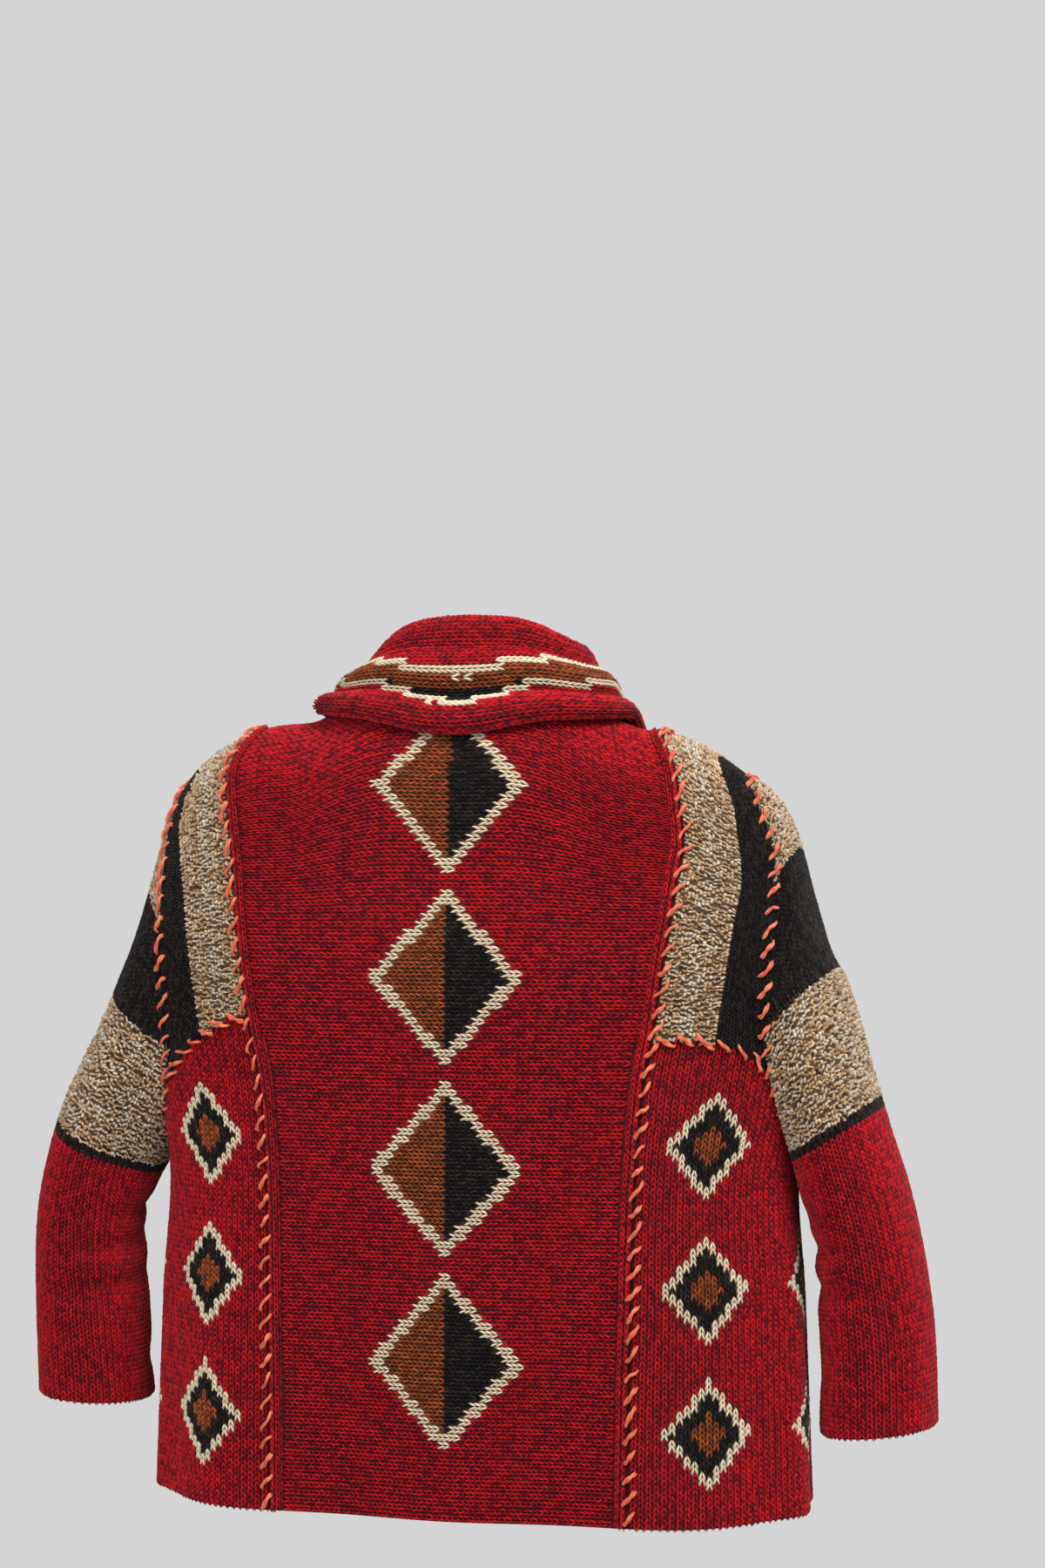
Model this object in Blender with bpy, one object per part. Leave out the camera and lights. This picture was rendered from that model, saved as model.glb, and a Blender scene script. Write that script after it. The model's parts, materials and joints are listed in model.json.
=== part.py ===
"""Hand-knitted patchwork cardigan, held out in the form it has when worn.

Every cut piece is its own cloth wall on one shared form: a back panel, a yoke strip over each
shoulder, a side panel under each arm, two fronts, two set-in sleeves and a folded shawl collar.
The origin is the middle of the neck opening, level with the nape. The back faces -Y, the wearer's
left is at -X, and Z is up. Metres.
"""
import bmesh
import bpy
import numpy as np

# Driving dimensions
WALL = 0.003                  # thickness of the single knitted cloth
COLLAR_WALL = 0.0035          # the collar is knitted a little firmer
SEAM_GAP = 0.0003             # pieces stand this far apart along a seam
MITRE_LIMIT = 2.4             # the longest a mitred seam edge may be, in half walls
HEM = -0.600                  # height of the hem below the nape
UNDERARM = -0.335             # height of the lowest point of the armhole
ARCH = 0.130                  # the shoulders round over within this drop
BELOW_ARCH = 0.200            # drop for each whole step of the over-shoulder coordinate below the arch
ROUNDNESS = 2.5               # power of the superellipse that a level section follows
HEM_FOLD = 0.0042             # depth of the soft flutes at the hem
FOLD_START = -0.240           # the flutes fade in below this height
NECK_HALF_WIDTH = 0.078       # centre to the neck point on the shoulder ridge
NAPE_REACH = -0.33            # over-shoulder coordinate of the neckline at the centre back
NECK_POINT_HEIGHT = 0.004     # height of the front edges' upper ends, beside the neck
FRONT_GAP = 0.012             # the open fronts hang this far from the centre
V_BOTTOM = -0.300             # where the collar ends on the front edges
LAPEL_CLEAR = 0.0030          # added height of the lapel over the front at the bottom of the V
LAPEL_TURN = 0.9              # over-shoulder coordinate below which the collar has its lapel form
ROLL_HEIGHT = 0.0035          # the edge of the back panel rolls up by this much beside its seam
ROLL_INSET = (0.0075, 0.0165) # distance of the roll's crest and of its foot from the seam
UNDERARM_CURVE = 1.8          # power of the curve of the armhole under the arm
SEAM_FADE = 0.060             # the sleeve takes its own section within this distance of the armhole
CREASE_LEAN = 0.00012         # metres that a crease moves along the sleeve for each degree round it
SHOULDER_TILT = 0.16          # lift of the wearer's left shoulder for each square metre of distance out
TILT_HEIGHTS = (-0.160, -0.040)  # the tilt grows from nothing to full between these heights

STRIP_ROWS = 11               # rows of facets from the shoulder ridge to the end of a yoke strip
SIDE_ROWS = 10                # rows of facets from there to the hem
NECK_COLUMNS = 6              # columns on each half of the back neckline
V_ROWS = 13                   # rows of the front edge that the collar is sewn to
UNDERARM_COLUMNS = 4          # columns of a side panel on each half of the lower armhole
SLEEVE_ROWS = 15
SLEEVE_ROW_POWER = 0.92       # power of the spacing of those rows, a little wider near the armhole
TRACK_STEPS = 400             # steps in which the length of a sleeve's top is measured
SEARCH_START, SEARCH_END, SEARCH_STEPS = -0.010, 0.400, 821  # where armholes are sought along a sleeve
BACK_COLUMNS = (-0.133, -0.106, 0.106, 0.125)  # columns of the back between its neckline and rolls
# shares of the way across: of a front's columns from its open edge, and of a yoke strip's from the
# inner seam
FRONT_COLUMNS = (0, 0.12, 0.27, 0.43, 0.60, 0.78, 0.90, 1.0)
STRIP_COLUMNS = (0, 0.16, 0.36, 0.58, 0.80, 1.0)
SIDE_EVEN_BELOW = 0.625       # share of the way down a side panel where its columns are evenly spaced

# distance from the centre, height of the shoulder ridge there
SHOULDER_LINE = ((0.000, 0.015), (0.060, 0.012), (0.080, 0.003), (0.120, -0.020), (0.155, -0.026),
                 (0.175, -0.032), (0.195, -0.044), (0.210, -0.055), (0.220, -0.066),
                 (0.240, -0.094), (0.270, -0.140))
# height, half width of the body, middle of its depth, depth of the back, depth of the front
BODY = ((-0.600, 0.250, -0.010, 0.105, 0.120), (-0.450, 0.245, -0.010, 0.103, 0.120),
        (-0.335, 0.242, -0.010, 0.102, 0.120), (-0.300, 0.250, -0.010, 0.101, 0.121),
        (-0.200, 0.268, -0.018, 0.096, 0.122), (-0.100, 0.270, -0.026, 0.078, 0.102),
        (-0.050, 0.270, -0.030, 0.079, 0.093), (0.020, 0.270, -0.030, 0.080, 0.090))
# drop below the ridge, half distance between the seams beside the back panel
INNER_SEAM = ((0.000, 0.158), (0.020, 0.171), (0.050, 0.174), (0.075, 0.1735), (0.100, 0.170),
              (0.140, 0.165), (0.170, 0.1607), (0.215, 0.154), (0.255, 0.1464), (0.290, 0.1427),
              (0.450, 0.137), (0.600, 0.135))
# drop below the ridge, distance of the armhole seam from the centre
ARMHOLE = ((0.000, 0.2175), (0.020, 0.231), (0.047, 0.2335), (0.111, 0.2305), (0.183, 0.229),
           (0.230, 0.2365))
# height, distance of the front edge from the centre
FRONT_EDGE = ((HEM, FRONT_GAP), (-0.330, FRONT_GAP), (V_BOTTOM, FRONT_GAP), (-0.200, 0.030),
              (-0.120, 0.048), (-0.060, 0.062), (-0.020, 0.073), (NECK_POINT_HEIGHT, NECK_HALF_WIDTH))
# height, share of the yoke's sideways shift that is left there
YOKE_SHIFT_FADE = ((-0.130, 0.0), (-0.120, 0.0), (-0.050, 0.8), (0.000, 1.0), (0.010, 1.0))

# The two sides of the worn garment hang a little differently. Sleeve tops, below the shoulder
# seam: distance from the centre, height. Sleeve turn: distance along the top, degrees that the
# sleeve points below level. Collar fold: how far it leans to the neck and how far it sinks on the
# shoulder, in shares of its height.
SIDES = {
    "left": {
        "sign": -1, "yoke_shift": 0.012, "strip_end_drop": (0.209, 0.209),
        "sleeve_top": ((0.2375, -0.0890), (0.2455, -0.1140), (0.2544, -0.1430), (0.2654, -0.1770),
                       (0.2788, -0.2090), (0.2925, -0.2400), (0.3090, -0.2720), (0.3240, -0.3020),
                       (0.3390, -0.3420), (0.3510, -0.3900), (0.3560, -0.4500), (0.3560, -0.5350)),
        "sleeve_turn": ((0.000, 20), (0.071, 36), (0.156, 52), (0.262, 61), (0.330, 70),
                        (0.400, 80), (0.480, 85), (0.600, 85)),
        "fold_lean": 0.34, "fold_sink": 0.32,
    },
    "right": {
        "sign": 1, "yoke_shift": -0.012, "strip_end_drop": (0.226, 0.192),
        "sleeve_top": ((0.2160, -0.0555), (0.2230, -0.0605), (0.2334, -0.0736), (0.2393, -0.0877),
                       (0.2445, -0.1060), (0.2520, -0.1430), (0.2640, -0.1870), (0.2740, -0.2060),
                       (0.2847, -0.2370), (0.2950, -0.2750), (0.3080, -0.3180), (0.3230, -0.3660),
                       (0.3340, -0.4200), (0.3400, -0.4700), (0.3420, -0.5350)),
        "sleeve_turn": ((0.000, 12), (0.072, 22), (0.167, 45), (0.267, 57), (0.340, 68),
                        (0.420, 79), (0.500, 84), (0.600, 84)),
        "fold_lean": 0.0, "fold_sink": 0.0,
    },
}
# distance along the sleeve's top, its half thickness, half depth, and middle of its depth
SLEEVE_SECTION = ((0.000, 0.034, 0.034, -0.030), (0.066, 0.038, 0.052, -0.021),
                  (0.161, 0.039, 0.071, -0.009), (0.275, 0.037, 0.069, -0.005),
                  (0.340, 0.038, 0.064, -0.001), (0.420, 0.040, 0.058, 0.004),
                  (0.600, 0.043, 0.051, 0.010))
# place along the sleeve's top, how far round from the top in degrees, reach along, reach round
# in degrees, and depth of each large crease
SLEEVE_CREASES = ((0.318, 150, 0.013, 70, 0.0050), (0.352, 190, 0.013, 60, 0.0055),
                  (0.392, 215, 0.012, 65, 0.0045), (0.455, 130, 0.014, 60, 0.0030))

# The folded collar in section, from its seam up the stand, over the fold and down to its rolled
# edge: outwards and up at the centre back, the same on the shoulder, and share of the lapel's
# width (or metres inwards, where negative) with height over the front
COLLAR = ((0.0000, 0.0000, 0.0000, 0.0000, 0.000, 0.0000),
          (-0.0035, 0.0220, -0.0035, 0.0150, -0.009, 0.0008),
          (-0.0085, 0.0450, -0.0060, 0.0275, -0.017, 0.0030),
          (-0.0100, 0.0575, -0.0045, 0.0345, -0.0225, 0.0075),
          (-0.0055, 0.0625, 0.0010, 0.0375, -0.0215, 0.0140),
          (0.0015, 0.0585, 0.0075, 0.0345, -0.0150, 0.0180),
          (0.0065, 0.0485, 0.0115, 0.0275, -0.0070, 0.0180),
          (0.0070, 0.0400, 0.0130, 0.0215, 0.040, 0.0155),
          (0.0130, 0.0335, 0.0185, 0.0185, 0.220, 0.0165),
          (0.0190, 0.0250, 0.0250, 0.0145, 0.400, 0.0165),
          (0.0210, 0.0160, 0.0290, 0.0080, 0.560, 0.0140),
          (0.0175, 0.0090, 0.0280, 0.0020, 0.660, 0.0095),
          (0.0170, 0.0020, 0.0300, -0.0030, 0.740, 0.0095),
          (0.0240, -0.0025, 0.0360, -0.0035, 0.820, 0.0125),
          (0.0320, -0.0085, 0.0420, -0.0065, 0.930, 0.0120),
          (0.0350, -0.0165, 0.0445, -0.0115, 1.000, 0.0085),
          (0.0300, -0.0240, 0.0415, -0.0160, 0.950, 0.0058),
          (0.0225, -0.0230, 0.0360, -0.0145, 0.850, 0.0056))
# height on the front, width of the lapel, and its fullness
LAPEL = ((-0.300, 0.028, 0.42), (-0.270, 0.034, 0.52), (-0.240, 0.040, 0.68), (-0.200, 0.049, 1.0),
         (-0.100, 0.058, 1.0), (0.004, 0.050, 1.0))

# piece, red, green, blue and roughness of its main yarn
YARNS = {"back_panel": (0.50, 0.020, 0.030, 0.92), "front": (0.50, 0.020, 0.030, 0.92),
         "side": (0.48, 0.022, 0.028, 0.92), "strip": (0.42, 0.33, 0.23, 0.95),
         "sleeve": (0.45, 0.37, 0.27, 0.95), "collar": (0.52, 0.022, 0.030, 0.92)}


def follow(table, at, column=1):
    """Read one column of a table at any place, on a smooth curve through its rows."""
    rows = np.array(table, dtype=float)
    place, value = rows[:, 0], rows[:, column]
    slope = np.gradient(value, place)
    at = np.clip(at, place[0], place[-1])
    row = np.clip(np.searchsorted(place, at, side="right") - 1, 0, len(place) - 2)
    span = place[row + 1] - place[row]
    t = (at - place[row]) / span
    return ((1 + 2 * t) * (1 - t) ** 2 * value[row] + t * (1 - t) ** 2 * span * slope[row]
            + t * t * (3 - 2 * t) * value[row + 1] - t * t * (1 - t) * span * slope[row + 1])


def smooth(share):
    """Ease from 0 to 1."""
    share = np.clip(share, 0, 1)
    return share * share * (3 - 2 * share)


def unit(vectors):
    return vectors / np.maximum(np.linalg.norm(vectors, axis=-1, keepdims=True), 1e-12)


def drop_at(reach):
    """Drop below the ridge at an over-shoulder coordinate, 0 on the ridge and 1 at the arch's end."""
    reach = np.abs(reach)
    return np.where(reach < 1, ARCH * (1 - np.cos(np.minimum(reach, 1) * np.pi / 2)),
                    ARCH + (reach - 1) * BELOW_ARCH)


def reach_at(drop):
    """The over-shoulder coordinate at a drop, without its sign."""
    inside = np.arccos(1 - np.clip(drop / ARCH, 0, 1)) * 2 / np.pi
    return np.where(drop < ARCH, inside, 1 + (drop - ARCH) / BELOW_ARCH)


def body_surface(out, z, round_share, arch, face):
    """A point of the body form; out is its distance from the centre, face is -1 behind, 1 in front."""
    depth = np.where(face < 0, follow(BODY, z, 3), follow(BODY, z, 4))
    y = follow(BODY, z, 2) + face * depth * arch * round_share
    half_width = follow(BODY, z, 1)
    from_centre_back = np.arctan2(face * round_share, np.abs(out) / half_width) + np.pi / 2
    flute = HEM_FOLD * smooth((FOLD_START - z) / (FOLD_START - HEM))
    flute = flute * (np.cos(9 * from_centre_back) - 0.7 * np.cos(5 * from_centre_back))
    away = unit(np.stack([out / half_width ** 2, (y - follow(BODY, z, 2)) / depth ** 2], -1))
    return np.stack([out + away[..., 0] * flute, y + away[..., 1] * flute, z + 0 * out], -1)


def over_shoulder(out, reach):
    """The body form by distance from the centre and over-shoulder coordinate (negative behind)."""
    out, reach = np.broadcast_arrays(np.asarray(out, float), np.asarray(reach, float))
    z = follow(SHOULDER_LINE, np.abs(out)) - drop_at(reach)
    share = np.clip(np.abs(out) / follow(BODY, z, 1), 0, 1)
    round_share = (1 - share ** ROUNDNESS) ** (1 / ROUNDNESS)
    arch = np.sin(np.minimum(np.abs(reach), 1) * np.pi / 2)
    return body_surface(out, z, round_share, arch, np.where(reach < 0, -1.0, 1.0))


def round_side(angle, z):
    """The body form by angle round from the side seam line (negative behind) and height."""
    angle, z = np.broadcast_arrays(np.asarray(angle, float), np.asarray(z, float))
    out = follow(BODY, z, 1) * np.abs(np.cos(angle)) ** (2 / ROUNDNESS)
    round_share = np.abs(np.sin(angle)) ** (2 / ROUNDNESS)
    return body_surface(out, z, round_share, 1.0, np.where(angle < 0, -1.0, 1.0))


def side_angle(out, z):
    """The angle of round_side at a distance from the centre, without its sign."""
    share = np.clip(out / follow(BODY, z, 1), 0, 1)
    return np.arccos(share ** (ROUNDNESS / 2))


def with_normals(surface, first, second, step=1e-4):
    """Points of a surface and its outward unit normals."""
    across = surface(first + step, second) - surface(first - step, second)
    along = surface(first, second + step) - surface(first, second - step)
    return surface(first, second), unit(np.cross(across, along))


def shifted(out, drop, side):
    """A seam's distance from the centre after the yoke has slipped to one side."""
    z = follow(SHOULDER_LINE, out) - drop
    return out + side["yoke_shift"] * follow(YOKE_SHIFT_FADE, z)


def inner_seam(reach, side):
    drop = drop_at(reach)
    return shifted(follow(INNER_SEAM, drop), drop, side)


def armhole_seam(reach, side):
    drop = drop_at(reach)
    return shifted(follow(ARMHOLE, drop), drop, side)


def hem_reach(out):
    return reach_at(follow(SHOULDER_LINE, np.abs(out)) - HEM)


def seam_reaches(side):
    """Over-shoulder coordinates of the rows along the inner seam, and those along the armhole."""
    ends = reach_at(np.array(side["strip_end_drop"]))
    rows = np.linspace(0, 1, STRIP_ROWS + 1)
    hem = hem_reach(follow(INNER_SEAM, -HEM))
    below = ends[0] + (hem - ends[0]) * np.linspace(0, 1, SIDE_ROWS + 1)[1:]
    return np.concatenate([ends[0] * rows, below]), ends[1] * rows


def neckline_reach(out):
    """The over-shoulder coordinate of the back neckline, and of the ridge beside it."""
    return NAPE_REACH * np.sqrt(np.clip(1 - (out / NECK_HALF_WIDTH) ** 2, 0, 1))


def neckline_columns():
    """Distances from the centre of the columns on half of the back neckline."""
    return np.sin(np.linspace(0, 1, NECK_COLUMNS + 1) * np.pi / 2) * NECK_HALF_WIDTH


def front_edge_reaches():
    """Over-shoulder coordinates and distances from the centre along a front edge."""
    top = follow(SHOULDER_LINE, FRONT_GAP)
    last = reach_at(top - V_BOTTOM)
    count = STRIP_ROWS + SIDE_ROWS - V_ROWS
    hem = hem_reach(FRONT_GAP)
    reach = np.concatenate([np.linspace(0, last, V_ROWS + 1),
                            np.linspace(last, hem, count + 1)[1:]])
    z = np.interp(reach, (0, 1, hem), (NECK_POINT_HEIGHT, top - ARCH, HEM))
    for _ in range(8):
        out = follow(FRONT_EDGE, z)
        z = follow(SHOULDER_LINE, out) - drop_at(reach)
    return reach, out


def armhole_loop(side):
    """The armhole from the shoulder ridge down the back, under the arm and up the front.

    Gives each point's angle and height for round_side below the strips, its distance from the
    centre and over-shoulder coordinate above, its place and the body's normal there.
    """
    reach = seam_reaches(side)[1]
    out = armhole_seam(reach, side)
    end_height = follow(SHOULDER_LINE, out[-1]) - drop_at(reach[-1])
    end_angle = side_angle(out[-1], end_height)
    share = np.linspace(1, 0, UNDERARM_COLUMNS + 1)[1:]
    angle = end_angle * share
    z = UNDERARM + (end_height - UNDERARM) * share ** UNDERARM_CURVE
    back_angle = np.concatenate([-angle, angle[:-1][::-1]])
    back_z = np.concatenate([z, z[:-1][::-1]])
    upper_back = with_normals(over_shoulder, out, -reach)
    lower = with_normals(round_side, back_angle, back_z)
    upper_front = with_normals(over_shoulder, out[::-1][:-1], reach[::-1][:-1])
    points = np.concatenate([upper_back[0], lower[0], upper_front[0]])
    normals = np.concatenate([upper_back[1], lower[1], upper_front[1]])
    return {"points": points, "normals": normals, "angle": back_angle, "height": back_z}


def sleeve_axis(side, along):
    """The sleeve's top line, the way it points and the way out of it, at distances along the top."""
    shoulder = armhole_seam(0.0, side)
    top = np.vstack([(shoulder, follow(SHOULDER_LINE, shoulder)), side["sleeve_top"]])
    fine = np.linspace(0, 1, TRACK_STEPS)
    knots = np.linspace(0, 1, len(top))
    track = np.stack([follow(np.column_stack([knots, top]), fine, c) for c in (1, 2)], -1)
    length = np.concatenate([[0], np.cumsum(np.linalg.norm(np.diff(track, axis=0), axis=1))])
    x, z = (np.interp(along, length, track[:, c]) for c in (0, 1))
    turn = np.radians(follow(side["sleeve_turn"], along))
    return x, z, np.cos(turn), -np.sin(turn), length[-1]


def sleeve_length(side):
    return sleeve_axis(side, 0.0)[4]


def place_on_sleeve(points, side):
    """For each point: which level section of the sleeve it is in, how far round, and how far out."""
    along = np.linspace(SEARCH_START, SEARCH_END, SEARCH_STEPS)
    x, z, ahead_x, ahead_z, _ = sleeve_axis(side, along)
    off = ((points[:, None, 0] - x) * ahead_x + (points[:, None, 2] - z) * ahead_z)
    first = np.argmax(off < 0, axis=1)
    place = np.arange(len(points))
    share = off[place, first - 1] / (off[place, first - 1] - off[place, first])
    along = along[first - 1] + share * (along[1] - along[0])
    x, z, ahead_x, ahead_z, _ = sleeve_axis(side, along)
    thick, deep, middle = (follow(SLEEVE_SECTION, along, c) for c in (1, 2, 3))
    rise = ((points[:, 0] - x) * -ahead_z + (points[:, 2] - z) * ahead_x) / thick + 1
    back = (points[:, 1] - middle) / deep
    return along, np.arctan2(back, rise), np.hypot(rise, back)


def sleeve_surface(side, seam):
    """A function of distance along the top and angle round, negative behind, for one sleeve."""
    order = np.argsort(seam["round"])
    known = seam["round"][order]
    start_of = seam["along"][order]
    out_of = seam["out"][order]

    def surface(along, angle):
        x, z, ahead_x, ahead_z, _ = sleeve_axis(side, along)
        thick, deep, middle = (follow(SLEEVE_SECTION, along, c) for c in (1, 2, 3))
        start = np.interp(angle, known, start_of, period=2 * np.pi)
        seam_out = np.interp(angle, known, out_of, period=2 * np.pi)
        near = np.exp(-(np.maximum(along - start, 0) / SEAM_FADE) ** 2)
        out = 1 + (seam_out - 1) * near
        for place, around, reach, spread, depth in SLEEVE_CREASES:
            turn = (np.degrees(angle) - around + 180) % 360 - 180
            crease = np.exp(-((along - place - CREASE_LEAN * turn) / reach) ** 2 - (turn / spread) ** 2)
            out = out - depth * crease * (1 - near) / thick
        rise = (np.cos(angle) * out - 1) * thick
        return np.stack([x - ahead_z * rise, middle + np.sin(angle) * out * deep,
                         z + ahead_x * rise], -1)
    return surface


def mitre(first, second):
    """The direction of the cut where two walls meet, and how long half of the cut is."""
    middle = unit(first + second)
    lean = np.sum(middle * first, axis=-1, keepdims=True)
    return middle / np.maximum(lean, 1 / MITRE_LIMIT)


def draw_back(faces, along_edge, cut, inwards):
    """Move one edge of both faces of a wall away from its seam, square to the seam's cut."""
    way = unit(np.cross(unit(cut), unit(along_edge)))
    way = way * np.sign(np.sum(way * inwards, axis=-1, keepdims=True))
    for face in faces:
        face += way * SEAM_GAP / 2


def wall_faces(points, normals, thickness, edges):
    """The outer and inner faces of a cloth wall, with each edge in edges drawn back from its seam.

    edges names the sides of the grid that are sewn: top, bottom, first or last.
    """
    outer = points + normals * thickness / 2
    inner = points - normals * thickness / 2
    rows = {"top": (0, 1), "bottom": (-1, -2)}
    columns = {"first": (0, 1), "last": (-1, -2)}
    for edge in edges:
        if edge in rows:
            here, next_in = rows[edge]
            pick = (here, slice(None))
            inwards = points[next_in] - points[here]
            run = np.gradient(points[here], axis=0)
        else:
            here, next_in = columns[edge]
            pick = (slice(None), here)
            inwards = points[:, next_in] - points[:, here]
            run = np.gradient(points[:, here], axis=0)
        draw_back((outer[pick], inner[pick]), run, normals[pick], inwards)
    return outer, inner


def settled(points):
    """Points after the shoulders have tilted, the wearer's left one up and the right one down."""
    x, z = points[..., 0], points[..., 2]
    low, high = TILT_HEIGHTS
    lift = -SHOULDER_TILT * x * np.abs(x) * smooth((z - low) / (high - low))
    return points + np.stack([0 * lift, 0 * lift, lift], -1)


def make_wall(name, outer, inner, yarn, is_tube=False):
    """Make the cloth wall between two like grids of points, as one closed object."""
    rows, columns = outer.shape[:2]
    sheet = bmesh.new()
    bmesh.ops.create_grid(sheet, x_segments=columns - 1, y_segments=rows - 1, size=1.0)
    number = sheet.verts.layers.int.new("number")
    for vert in sheet.verts:
        column = round((vert.co.x + 1) / 2 * (columns - 1))
        row = round((vert.co.y + 1) / 2 * (rows - 1))
        vert[number] = row * columns + column
    flat = [settled(face).reshape(-1, 3) for face in (outer, inner)]
    face_verts = set(sheet.verts)
    bmesh.ops.extrude_face_region(sheet, geom=list(sheet.faces), use_keep_orig=True)
    if is_tube:
        rims = [{v[number] % columns for v in f.verts} for f in sheet.faces]
        seam_faces = [f for f, rim in zip(sheet.faces, rims) if rim in ({0}, {columns - 1})]
        bmesh.ops.delete(sheet, geom=seam_faces, context="FACES_ONLY")
    for vert in sheet.verts:
        vert.co = flat[0 if vert in face_verts else 1][vert[number]]
    if is_tube:
        bmesh.ops.remove_doubles(sheet, verts=list(sheet.verts), dist=1e-6)
    bmesh.ops.triangulate(sheet, faces=list(sheet.faces))
    bmesh.ops.recalc_face_normals(sheet, faces=list(sheet.faces))
    mesh = bpy.data.meshes.new(name)
    sheet.to_mesh(mesh)
    sheet.free()
    mesh.shade_smooth()
    mesh.materials.append(yarn)
    piece = bpy.data.objects.new(name, mesh)
    bpy.context.collection.objects.link(piece)
    return piece


def make_yarn(name, red, green, blue, roughness):
    yarn = bpy.data.materials.new(name)
    yarn.use_nodes = True
    shader = yarn.node_tree.nodes["Principled BSDF"]
    shader.inputs["Base Color"].default_value = (red, green, blue, 1)
    shader.inputs["Roughness"].default_value = roughness
    shader.inputs["Metallic"].default_value = 0
    return yarn


def mirrored(points, side):
    return points * np.array((side["sign"], 1, 1))


def make_back_panel(yarn):
    """The centre back: neckline and shoulders on top, rolled edges beside the seams."""
    left, right = SIDES["left"], SIDES["right"]
    reaches = [seam_reaches(s)[0] for s in (left, right)]
    outs = [inner_seam(r, s) for r, s in zip(reaches, (left, right))]
    half_neck = neckline_columns()
    neck = np.concatenate([-half_neck[:0:-1], half_neck])
    width = [o[0] for o in outs]
    insets = np.array((0, *ROLL_INSET))
    left_part = np.concatenate([insets - width[0], BACK_COLUMNS[:2]])
    right_part = np.concatenate([BACK_COLUMNS[2:], width[1] - insets[::-1]])
    top_x = np.concatenate([left_part, neck, right_part])
    top_reach = neckline_reach(top_x)
    share = (top_x + width[0]) / (width[0] + width[1])
    from_left = (top_x + width[0])[None]
    from_right = (width[1] - top_x)[None]
    spread = -outs[0][:, None] + share * (outs[0] + outs[1])[:, None]
    near_left, near_right = (d <= ROLL_INSET[1] + 1e-6 for d in (from_left, from_right))
    x = np.where(near_left, -outs[0][:, None] + from_left, spread)
    x = np.where(near_right, outs[1][:, None] - from_right, x)
    fraction = [r / r[-1] for r in reaches]
    rows = fraction[0][:, None] * (1 - share) + fraction[1][:, None] * share
    reach = -(-top_reach + rows * (hem_reach(x) + top_reach))
    points, normals = with_normals(over_shoulder, x, reach)
    normals[0, len(left_part):-len(right_part)] = collar_seam_cut()[collar_neck()]
    outer, inner = wall_faces(points, normals, WALL, ("top", "first", "last"))
    outer[:, (1, -2)] += normals[:, (1, -2)] * ROLL_HEIGHT
    inner[:, (1, -2)] += normals[:, (1, -2)] * ROLL_HEIGHT / 2
    return make_wall("back_panel", outer, inner, yarn)


def make_front(which, yarn):
    """A front, from its open edge to the inner seam."""
    side = SIDES[which]
    seam_reach = seam_reaches(side)[0]
    seam_out = inner_seam(seam_reach, side)
    edge_reach, edge_out = front_edge_reaches()
    share = np.array(FRONT_COLUMNS)
    x = edge_out[:, None] * (1 - share) + seam_out[:, None] * share
    rows = ((edge_reach / edge_reach[-1])[:, None] * (1 - share)
            + (seam_reach / seam_reach[-1])[:, None] * share)
    reach = rows * hem_reach(x[-1])
    points, normals = with_normals(over_shoulder, x, reach)
    normals[:V_ROWS + 1, 0] = mirrored(collar_seam_cut()[collar_front(which)], side)
    outer, inner = wall_faces(points, normals, WALL, ("top", "first", "last"))
    return make_wall("front_" + which, mirrored(outer, side), mirrored(inner, side), yarn)


def make_strip(which, yarn):
    """A yoke strip over the shoulder, between the inner seam and the armhole, back to front."""
    side = SIDES[which]
    loop = armhole_loop(side)
    sleeve_normals = sleeve_seam(which)["normals"]
    inner_reach, outer_reach = seam_reaches(side)
    inner_reach = inner_reach[:STRIP_ROWS + 1]
    share = np.array(STRIP_COLUMNS)
    x = (inner_seam(inner_reach, side)[:, None] * (1 - share)
         + armhole_seam(outer_reach, side)[:, None] * share)
    reach = inner_reach[:, None] * (1 - share) + outer_reach[:, None] * share
    x = np.concatenate([x[::-1], x[1:]])
    reach = np.concatenate([-reach[::-1], reach[1:]])
    points, normals = with_normals(over_shoulder, x, reach)
    around = np.arange(STRIP_ROWS, -STRIP_ROWS - 1, -1)
    normals[:, -1] = mitre(loop["normals"][around], sleeve_normals[around])
    outer, inner = wall_faces(points, normals, WALL, ("top", "bottom", "first", "last"))
    return make_wall("strip_" + which, mirrored(outer, side), mirrored(inner, side), yarn)


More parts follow.
